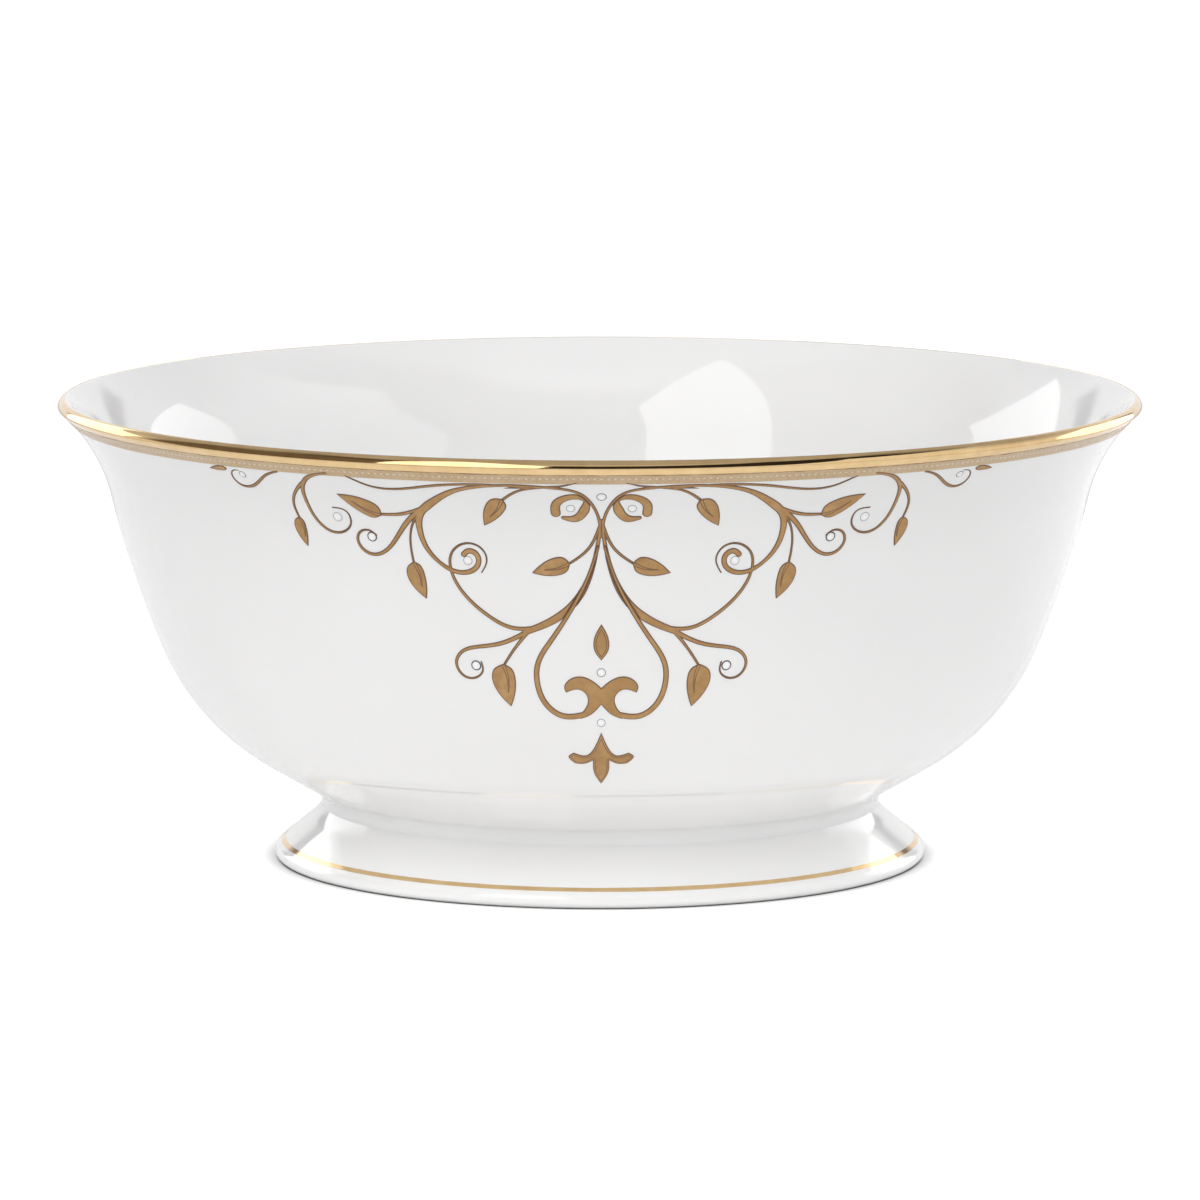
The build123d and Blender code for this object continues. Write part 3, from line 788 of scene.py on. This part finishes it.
def noise(tree, scale, detail=2.0, stretch=(1, 1, 1)):
    """Smooth noise of so many lumps to the metre, from 0 to 1."""
    inputs = {"Vector": place_in_object(tree, stretch), "Scale": scale, "Detail": detail}
    return add_node(tree, "ShaderNodeTexNoise", inputs).outputs["Fac"]


def spread(tree, value, low, high, to_low=0.0, to_high=1.0):
    """A value's range stretched onto another."""
    inputs = {"Value": value, "From Min": low, "From Max": high, "To Min": to_low, "To Max": to_high}
    return add_node(tree, "ShaderNodeMapRange", inputs, clamp=True).outputs["Result"]


def blend(tree, share, first, second):
    """A colour between two, each a colour or a socket."""
    node = add_node(tree, "ShaderNodeMix", data_type="RGBA")
    tree.links.new(share, node.inputs["Factor"])
    for socket, value in zip(node.inputs[6:8], (first, second)):
        if isinstance(value, bpy.types.NodeSocket):
            tree.links.new(value, socket)
        else:
            socket.default_value = (*value, 1)
    return node.outputs[2]


def bump(tree, height, depth, normal=None):
    """A normal from a height, whose full range stands depth metres high."""
    inputs = {"Height": height, "Distance": depth, "Strength": 1.0}
    if normal is not None:
        inputs["Normal"] = normal
    return add_node(tree, "ShaderNodeBump", inputs).outputs["Normal"]


def read(tree, name):
    return add_node(tree, "ShaderNodeAttribute", attribute_name=name).outputs["Fac"]


def calculate(tree, operation, *values):
    inputs = dict(enumerate(values))
    return add_node(tree, "ShaderNodeMath", inputs, operation=operation).outputs[0]


# Each material's pairs of colours, from its darkest patches to its lightest
GLAZE_TONES = (0.815, 0.812, 0.803), (0.842, 0.84, 0.834)
BISCUIT_TONES = (0.74, 0.715, 0.67), (0.80, 0.78, 0.745)
BRIGHT_GOLD_TONES = (0.72, 0.50, 0.25), (0.80, 0.58, 0.31)
MATTE_GOLD_TONES = (0.41, 0.24, 0.10), (0.49, 0.30, 0.135)
MATTE_GOLD_BRUSHED = (0.32, 0.18, 0.07)
INK_TONES = (0.14, 0.075, 0.04), (0.21, 0.115, 0.063)
GROUND_TONES = (0.40, 0.275, 0.145), (0.53, 0.38, 0.215)
GROUND_WORN = (0.60, 0.47, 0.32)
ENAMEL_TONES = (0.86, 0.86, 0.86), (0.92, 0.92, 0.915)
ENAMEL_FAINT_LINE = (0.45, 0.42, 0.47)
# dark ring round each drop: partly a drawn outline, partly painted shade of the drop's edge
ENAMEL_OUTLINE_AND_EDGE_SHADE = (0.085, 0.075, 0.085)
BEAD_TONES = (0.60, 0.49, 0.34), (0.74, 0.64, 0.50)

MIDDLE = (0.3, 0.7)  # the range that most of a noise's values lie in
BARE_RING_HEIGHT = (0.00045, 0.0006)  # metres over which the foot's bare ring gives way to glaze
INK_EDGE = (0.19, 0.31)  # millimetres from an ink line's middle over which it gives way to gold
ENAMEL_LINE_PLACE = 0.55  # share of a drop's radius at which its inner line runs


def porcelain():
    """Glossy glaze over a warm white body, faintly clouded and rippled, with a bare ring under the foot."""
    made, tree, shader = new_material(
        "porcelain_glaze",
        IOR=1.52,
        Subsurface_Weight=0.12,
        Subsurface_Radius=(0.9, 0.75, 0.6),
        Subsurface_Scale=0.002,
        Coat_Weight=0.35,
        Coat_Roughness=0.02,
    )
    cloud = spread(tree, noise(tree, 16, 3), *MIDDLE)
    glaze = blend(tree, cloud, *GLAZE_TONES)
    height = add_node(tree, "ShaderNodeSeparateXYZ", {"Vector": place_in_object(tree)}).outputs["Z"]
    grain = noise(tree, 2600, 4)
    wavy = calculate(tree, "MULTIPLY_ADD", noise(tree, 90, 2), 0.0005, height)
    bare = spread(tree, wavy, *BARE_RING_HEIGHT, 1.0, 0.0)
    biscuit = blend(tree, spread(tree, grain, 0.35, 0.65), *BISCUIT_TONES)
    colour = blend(tree, bare, glaze, biscuit)
    gloss = spread(tree, noise(tree, 38, 2), *MIDDLE, 0.05, 0.085)
    dull = calculate(tree, "MULTIPLY_ADD", bare, 0.55, gloss)
    ripple = bump(tree, noise(tree, 42, 1.0), 0.00006)
    pitted = bump(tree, noise(tree, 700, 2.0), 0.0000012, ripple)
    connect(tree, shader, Base_Color=colour, Roughness=dull, Normal=pitted)
    return made


def burnished_gold():
    """Bright fired gold, burnished round the bowl in fine streaks, a little thin in places."""
    made, tree, shader = new_material("burnished_gold", Metallic=1.0, IOR=1.5)
    streaks = noise(tree, 30, 5, (1, 1, 26))
    mottled = noise(tree, 240, 3)
    tone = blend(tree, spread(tree, mottled, *MIDDLE), *BRIGHT_GOLD_TONES)
    gloss = spread(tree, streaks, *MIDDLE, 0.035, 0.075)
    connect(tree, shader, Base_Color=tone, Roughness=gloss, Normal=bump(tree, mottled, 0.00001))
    return made


def matte_gold():
    """Raised gold with a satin fill, and a brown printed line round its edges and along its veins."""
    made, tree, shader = new_material("matte_raised_gold", IOR=1.5)
    brushed = noise(tree, 700, 4)
    patchy = noise(tree, 160, 2)
    fill = blend(tree, spread(tree, patchy, 0.32, 0.68), *MATTE_GOLD_TONES)
    fill = blend(tree, spread(tree, brushed, 0.35, 0.75, 0.0, 0.55), fill, MATTE_GOLD_BRUSHED)
    line = read(tree, "line_distance")
    gold = spread(tree, line, *INK_EDGE)
    ink = blend(tree, spread(tree, brushed, *MIDDLE), *INK_TONES)
    metal = spread(tree, gold, 0, 1, 0.4, 0.75)
    gloss = spread(tree, brushed, *MIDDLE, 0.38, 0.5)
    connect(tree, shader, Base_Color=blend(tree, gold, ink, fill), Metallic=metal, Roughness=gloss)
    connect(tree, shader, Normal=bump(tree, brushed, 0.000015))
    return made


def border_ground():
    """Satin tan enamel, printed in fine grains."""
    made, tree, shader = new_material("border_ground_enamel", IOR=1.5, Coat_Weight=0.3, Coat_Roughness=0.15)
    inputs = {"Vector": place_in_object(tree), "Scale": 2600}
    grains = add_node(tree, "ShaderNodeTexVoronoi", inputs).outputs["Distance"]
    print_tone = blend(tree, spread(tree, grains, 0.1, 0.6), *GROUND_TONES)
    worn = blend(tree, spread(tree, noise(tree, 110, 3), 0.4, 0.75, 0, 0.45), print_tone, GROUND_WORN)
    gloss = spread(tree, noise(tree, 500, 2), *MIDDLE, 0.3, 0.42)
    metal = spread(tree, grains, 0.1, 0.6, 0.25, 0.5)
    connect(tree, shader, Base_Color=worn, Roughness=gloss, Metallic=metal)
    connect(tree, shader, Normal=bump(tree, grains, 0.000012))
    return made


def white_enamel():
    """Glossy white drops, each with a faint line inside and a dark line round it that its mark makes darker:
    a drawn outline, partly painted shade at the drop's steep edge.
    """
    made, tree, shader = new_material("white_enamel", IOR=1.52, Coat_Weight=0.4, Coat_Roughness=0.03)
    share, mark = read(tree, "share"), read(tree, "mark")
    milky = blend(tree, noise(tree, 900, 2), *ENAMEL_TONES)
    off_line = calculate(tree, "ABSOLUTE", calculate(tree, "SUBTRACT", share, ENAMEL_LINE_PLACE))
    faint = spread(tree, off_line, 0.02, 0.09, 0.22, 0.0)
    # painted edge shade: the dark ring round each drop stands partly for an outline and partly for the shade
    # at its steep edge
    rim = spread(tree, calculate(tree, "MULTIPLY_ADD", mark, 0.17, share), 0.9, 0.94)
    rim = calculate(tree, "MULTIPLY", rim, spread(tree, mark, 0, 1, 0.62, 1.0))
    drawn = blend(tree, faint, milky, ENAMEL_FAINT_LINE)
    gloss = spread(tree, noise(tree, 1200, 2), *MIDDLE, 0.1, 0.2)
    connect(tree, shader, Base_Color=blend(tree, rim, drawn, ENAMEL_OUTLINE_AND_EDGE_SHADE), Roughness=gloss)
    connect(tree, shader, Normal=bump(tree, noise(tree, 1500, 2), 0.00001))
    return made


def pale_beads():
    """Cream enamel beads of the border."""
    made, tree, shader = new_material("pale_bead_enamel", IOR=1.5, Coat_Weight=0.2, Coat_Roughness=0.1)
    tone = blend(tree, spread(tree, noise(tree, 800, 2), *MIDDLE), *BEAD_TONES)
    gloss = spread(tree, noise(tree, 2000, 2), *MIDDLE, 0.22, 0.35)
    connect(tree, shader, Base_Color=tone, Roughness=gloss)
    return made


# ---- the pieces ----

RIM_WANDER = 0.16  # millimetres by which hand-laid edges stray
TOP_WANDER = 0.4  # share of the lip's last step by which the gilding's inner edge strays
BORDER_WANDER = 0.05
FOOT_LINE_WANDER = 0.06
BORDER_TUCK = 0.35  # how far the border's print runs under the rim's gold
INNER_LINE_DEPTH = 0.62  # how far inside their outline the drops' second ink line runs
INNER_LINE_FAINT, VEIN_FAINT = 0.15, 0.14  # millimetres that thin these lines against the outlines
VEIN_SUNK, VEIN_WIDTH = 0.04, 0.12  # the groove along a leaf's vein
DOT_RINGS = ((0, 1), (0.25, 0.96), (0.42, 0.88), (0.55, 0.76), (0.65, 0.62), (0.73, 0.42), (0.78, 0.22),
             (0.82, 0.16), (0.87, 0.15), (0.92, 0.14), (1, 0.08), (1, -1))
BEAD_RINGS = ((0, 1), (0.45, 0.86), (0.8, 0.5), (1, 0.1), (1, -1))


def finish_piece(piece, material, node):
    """Gives a piece its material, and makes it stand for a CAD node."""
    piece.data.materials.clear()
    piece.data.materials.append(material)
    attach(piece, "root")
    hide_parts(node)


def wall_points(down):
    """Points of the wall's outline at distances down it from the lip's round."""
    return np.stack([np.interp(down, WALL_LENGTH, WALL_POINTS[:, k]) for k in (0, 1)], 1)


def rim_section(top, low):
    """The gilded lip's section: up the wall and over the lip's edge, to just outside its crest."""
    down = np.linspace(RIM_GOLD_WIDTH + RIM_WANDER * low, 0, RIM_POINTS)[:-1]
    over = lip(GOLD_TOP_DIRECTION)
    over[-1] += (over[-1] - over[-2]) * TOP_WANDER * top
    return film_outline(np.vstack([wall_points(down), over]), GOLD_FILM)


def border_section(low):
    """The border print's section, from its lower edge up to under the rim's gold."""
    lower = BORDER_BOTTOM + BORDER_WANDER * low
    down = np.linspace(lower, RIM_GOLD_WIDTH - BORDER_TUCK, BORDER_POINTS)
    return film_outline(wall_points(down), GROUND_FILM)


def foot_line_section(low, high):
    """The section of the gold line on the foot's skirt, of uneven width like a brushed line."""
    outer, _ = foot_lines()
    skirt_start = outer[np.argmax(outer[:, 1] > FOOT_LINE_HEIGHT) - 1]
    up = unit(90 + FOOT_LEAN)
    middle = skirt_start + up * ((FOOT_LINE_HEIGHT - skirt_start[1]) / up[1])
    first = -FOOT_LINE_WIDTH / 2 + FOOT_LINE_WANDER * low
    last = FOOT_LINE_WIDTH / 2 + FOOT_LINE_WANDER * high
    along = np.linspace(first, last, FOOT_LINE_POINTS)
    return film_outline(middle + along[:, None] * up, GOLD_FILM)


glaze = porcelain()
bright = burnished_gold()
matte = matte_gold()
enamel = white_enamel()

finish_piece(lathe("glazed_bowl", bowl_outline()), glaze, "bowl_body")
finish_piece(lathe("glazed_foot", foot_outline()), glaze, "pedestal_foot")
finish_piece(lathe("glazed_neck_seam", seam_outline()), glaze, "luting_slip_seam")
finish_piece(lathe("gilded_lip", rim_section, 1.0, 2.3), bright, "rim_gold_band")
finish_piece(lathe("foot_gilding", foot_line_section, 3.1, 5.2), bright, "foot_gold_line")
border = lathe("border_print", border_section, 0.7)
finish_piece(border, border_ground(), "border_ground_band")

fields, veins = ornament_fields()
for kind, depth in fields.items():
    raised = RAISED_GOLD * shoulder(depth)
    line = depth.copy()
    if kind == "leaves":
        vein = np.abs(veins)
        line = np.minimum(line, vein + VEIN_FAINT)
        raised = raised - VEIN_SUNK * np.exp(-(vein / VEIN_WIDTH) ** 2) * (depth > 0)
    if kind == "drop_ornaments":
        line = np.minimum(line, np.abs(depth - INNER_LINE_DEPTH) + INNER_LINE_FAINT)
    front = film_piece(f"front_{kind}_gilding", depth, np.maximum(raised, 0), line)
    back = half_turn(front)
    finish_piece(front, matte, f"front_{kind}")
    finish_piece(back, matte, f"back_{kind}")

dots = [(x, y, radius, DOT_HEIGHT, mark) for x, y, radius, mark in CENTRE_DOTS]
for side in (1, -1):
    dots += [(side * x, y, radius, DOT_HEIGHT, mark) for x, y, radius, mark in SIDE_DOTS]
front = dome_piece("front_enamel_jewels", dots, DOT_SEGMENTS, DOT_RINGS)
back = half_turn(front)
finish_piece(front, enamel, "front_enamel_dots")
finish_piece(back, enamel, "back_enamel_dots")

round_bowl = [DRAWING_RADIUS * 2 * pi * i / BEAD_COUNT for i in range(BEAD_COUNT)]
bead_places = [(x, BEAD_ROW, BEAD_RADIUS, BEAD_HEIGHT, 0) for x in round_bowl]
beads = dome_piece("border_beads", bead_places, BEAD_SEGMENTS, BEAD_RINGS)
beads.data.materials.append(pale_beads())
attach(beads, "root")


# ---- studio: floor, soft boxes, sky, camera ----

BACKDROP_STRENGTH = 1.1
HORIZON = (-0.02, 0.0)
FRONT_TO_SIDES = (-0.9, -0.3)
BOWL_MIDDLE = 0.08
PAPER_RADIUS = 0.5
PAPER_CORNERS = 64
PAPER_TONES = (0.76, 0.76, 0.76), (0.79, 0.79, 0.79)
# painted contact shadow: the paper's colour in the thin ring under the foot's edge
PAPER_PAINTED_SHADOW = (0.05, 0.05, 0.06)
FLOOR_GLOW = 0.28  # that lights the bowl
SHOWN_GLOW = 0.6  # that only the camera sees besides
# Distances from the axis, in metres, over which the painted shadow under the foot ends and each glow begins;
# where the glows fade in they paint a soft shadow round the foot
CONTACT_SHADOW = (0.0713, 0.0723)
GLOW_STARTS = (0.0716, 0.0755)
SHOWN_GLOW_STARTS = (0.072, 0.086)
# The light on the bowl from the world: top, middle and low bands, and below the floor's level
FILL_TOP = (0.3, 0.3, 0.3)
FILL_FRONT_MIDDLE = (1.88, 1.88, 1.88)
FILL_SIDES_MIDDLE = (0.54, 0.54, 0.57)
FILL_FRONT = (0.4, 0.4, 0.4)
FILL_SIDES = (0.4, 0.4, 0.43)
FILL_BELOW = (0.02, 0.02, 0.02)
# The room that the bowl's gloss mirrors
ROOM_BELOW = (0.74, 0.73, 0.77)
ROOM_DARK = (0.03, 0.025, 0.02)
ROOM_DARK_LEFT = (0.17, 0.14, 0.11)
ROOM_CORNERS = (0.3, 0.27, 0.29)
ROOM_LAMPLIT = (0.72, 0.71, 0.70)
ROOM_CEILING = (0.5, 0.5, 0.5)
ROOM_TABLE = (0.95, 0.95, 0.95)
ROOM_BACK = (1.0, 1.0, 1.0)
# Azimuth (0 is in front, 90 at right) and elevation as the bowl sees them, distance, strength, and corners in
# metres to the right and up in the panel's plane
SOFT_BOXES = {
    "soft_box_front": (-30, 38, 1.2, 2.1, ((0.31, 0.05), (-0.26, 0.87), (-0.36, -0.5), (0.38, -0.5))),
    "soft_box_back_right": (
        132, 21, 0.8, 2.3,
        ((0.22, -0.18), (0.18, -0.04), (0.06, 0.1), (-0.15, 0.08), (-0.27, 0.04), (-0.38, -0.1),
         (-0.38, -0.3), (-0.2, -0.45), (0.05, -0.45), (0.2, -0.33)),
    ),
    "soft_box_back_left": (-132, 21, 0.8, 2.2, ((0.25, 0.05), (-0.28, 0.16), (-0.2, -0.3), (0.3, -0.3))),
}
CAMERA_LENS = 259.1
CAMERA_PLACE = (-0.0053, -1.9024, 0.3241)
CAMERA_AIM = (0, 0, 0.0571)


def emitting(name, strength):
    """A material that glows white."""
    made = bpy.data.materials.new(name)
    made.use_nodes = True
    tree = made.node_tree
    tree.nodes.clear()
    glow = add_node(tree, "ShaderNodeEmission", {"Color": (1, 1, 1, 1), "Strength": strength})
    result = add_node(tree, "ShaderNodeOutputMaterial")
    tree.links.new(glow.outputs[0], result.inputs["Surface"])
    return made


def panel(name, corners, material):
    """One flat face."""
    mesh = bpy.data.meshes.new(name)
    mesh.from_pydata(corners, [], [tuple(range(len(corners)))])
    mesh.materials.append(material)
    return new_object(name, mesh)


def soft_box(name, azimuth, elevation, distance, strength, corners):
    """A glowing panel that the camera doesn't see, in a direction from the bowl."""
    turn, rise = radians(azimuth), radians(elevation)
    away = Vector((sin(turn) * cos(rise), -cos(turn) * cos(rise), sin(rise)))
    right = Vector((cos(turn), sin(turn), 0))
    up = away.cross(right)
    centre = Vector((0, 0, BOWL_MIDDLE)) + away * distance
    places = [centre + right * x + up * y for x, y in corners]
    box = panel(name, places, emitting(name, strength))
    box.visible_camera = False
    return box


def studio_floor():
    """A disc of white paper. It glows except under the foot, so that only a thin line of shadow is left, and
    the camera sees more of the glow than the bowl does.
    A thin ring under the foot's edge is painted nearly black as a contact shadow, and the glows fade in just
    outside the foot, painting a soft shadow there."""
    made, tree, shader = new_material("floor_paper", Roughness=0.9, IOR=1.2)
    tone = blend(tree, noise(tree, 30, 3), *PAPER_TONES)
    flat = place_in_object(tree, (1, 1, 0))
    from_axis = add_node(tree, "ShaderNodeVectorMath", {0: flat}, operation="LENGTH").outputs["Value"]
    # painted shadow: the paper turns nearly black in a thin ring under the foot's edge
    painted_contact_shadow = spread(tree, from_axis, *CONTACT_SHADOW, 1.0, 0.0)
    paper = blend(tree, painted_contact_shadow, tone, PAPER_PAINTED_SHADOW)
    shader.inputs["Emission Color"].default_value = (1, 1, 1, 1)
    # the glows start only outside the foot, so their fade paints a soft shadow round it
    glow = spread(tree, from_axis, *GLOW_STARTS, 0.0, FLOOR_GLOW)
    shown_glow = spread(tree, from_axis, *SHOWN_GLOW_STARTS, 0.0, SHOWN_GLOW)
    seen = add_node(tree, "ShaderNodeLightPath").outputs["Is Camera Ray"]
    glow = calculate(tree, "MULTIPLY_ADD", seen, shown_glow, glow)
    connect(tree, shader, Base_Color=paper, Emission_Strength=glow)
    angles = np.arange(PAPER_CORNERS) * 2 * pi / PAPER_CORNERS
    corners = [(PAPER_RADIUS * cos(angle), PAPER_RADIUS * sin(angle), 0) for angle in angles]
    floor = panel("floor", corners, made)


def studio_sky():
    """White to the camera. The bowl mirrors one picture, the room, and is lit by another, the fill. Their
    parts are told apart by the direction they are seen in: a unit vector to the right, the back and up."""
    world = bpy.data.worlds.new("studio")
    bpy.context.scene.world = world
    world.use_nodes = True
    tree = world.node_tree
    backdrop = tree.nodes["Background"]
    backdrop.inputs["Color"].default_value = (1, 1, 1, 1)
    backdrop.inputs["Strength"].default_value = BACKDROP_STRENGTH
    direction = add_node(tree, "ShaderNodeTexCoord").outputs["Generated"]
    parts = add_node(tree, "ShaderNodeSeparateXYZ", {"Vector": direction}).outputs
    to_right, to_back, upward = parts["X"], parts["Y"], parts["Z"]

    def above(value, low, high):
        return spread(tree, value, low, high)

    def below(value, low, high):
        return spread(tree, value, low, high, 1.0, 0.0)

    def overlap(first, *others):
        for other in others:
            first = calculate(tree, "MULTIPLY", first, other)
        return first

    def minus(first, second):
        return calculate(tree, "SUBTRACT", first, second)

    # In front of the bowl: table, dark gap, lamplit wall and ceiling, and a tall reflector at right
    reflector_top = spread(tree, to_back, *FRONT_TO_SIDES, 0.17, 0.7)
    gap_top = spread(tree, to_back, *FRONT_TO_SIDES, 0.64, 0.85)
    reflector = overlap(below(minus(upward, reflector_top), 0.0, 0.02), above(to_right, 0.0, 0.1))
    ceiling = blend(tree, above(upward, 0.8, 0.92), ROOM_LAMPLIT, ROOM_CEILING)
    gap = blend(tree, below(to_right, -0.75, -0.2), ROOM_DARK, ROOM_DARK_LEFT)
    front = blend(tree, above(minus(upward, gap_top), 0.0, 0.04), gap, ceiling)
    front = blend(tree, below(upward, 0.16, 0.18), front, ROOM_TABLE)
    front = blend(tree, reflector, front, ROOM_BACK)
    # Behind it: a pale wall with dim corners, and a dark wall at left
    back = blend(tree, above(upward, 0.35, 0.6), ROOM_BACK, ROOM_CEILING)
    room = blend(tree, above(to_back, 0.0, 0.45), front, back)
    left_wall = overlap(
        below(to_right, -0.62, -0.5),
        below(to_back, 0.36, 0.5),
        above(upward, 0.22, 0.32),
        below(upward, 0.66, 0.8),
    )
    room = blend(tree, left_wall, room, ROOM_DARK_LEFT)
    sideways = calculate(tree, "ABSOLUTE", to_right)
    corners = overlap(
        above(sideways, 0.34, 0.39),
        below(sideways, 0.46, 0.5),
        above(upward, 0.1, 0.16),
        below(upward, 0.3, 0.34),
        above(to_back, 0.5, 0.6),
    )
    room = blend(tree, corners, room, ROOM_CORNERS)
    room = blend(tree, below(upward, *HORIZON), room, ROOM_BELOW)

    # The fill is brightest in a band in front, and a little left of the middle
    off_front = calculate(tree, "MULTIPLY_ADD", to_right, 0.22, to_back)
    low_fill = blend(tree, above(off_front, -0.7, 0.3), FILL_FRONT, FILL_SIDES)
    middle_fill = blend(tree, above(off_front, -0.5, 0.2), FILL_FRONT_MIDDLE, FILL_SIDES_MIDDLE)
    fill = blend(tree, above(upward, 0.19, 0.36), low_fill, middle_fill)
    fill = blend(tree, above(upward, 0.82, 0.92), fill, FILL_TOP)
    fill = blend(tree, below(upward, *HORIZON), fill, FILL_BELOW)

    lit = add_node(tree, "ShaderNodeBackground", {"Color": fill, "Strength": 1.0})
    mirrored = add_node(tree, "ShaderNodeBackground", {"Color": room, "Strength": 1.0})
    ray = add_node(tree, "ShaderNodeLightPath").outputs
    inputs = {0: ray["Is Glossy Ray"], 1: lit.outputs[0], 2: mirrored.outputs[0]}
    unseen = add_node(tree, "ShaderNodeMixShader", inputs)
    inputs = {0: ray["Is Camera Ray"], 1: unseen.outputs[0], 2: backdrop.outputs[0]}
    mixed = add_node(tree, "ShaderNodeMixShader", inputs)
    tree.links.new(mixed.outputs[0], tree.nodes["World Output"].inputs["Surface"])


def add_camera():
    data = bpy.data.cameras.new("camera")
    data.lens = CAMERA_LENS
    data.sensor_width = 36
    data.clip_end = 20
    camera = new_object("camera", data)
    camera.location = CAMERA_PLACE
    aim = Vector(CAMERA_AIM) - camera.location
    camera.rotation_euler = aim.to_track_quat("-Z", "Y").to_euler()
    bpy.context.scene.camera = camera


studio_floor()
studio_sky()
soft_boxes = {name: soft_box(name, *measures) for name, measures in SOFT_BOXES.items()}
soft_boxes["soft_box_back_left"].visible_diffuse = False
add_camera()
bpy.context.scene.view_settings.view_transform = "Standard"
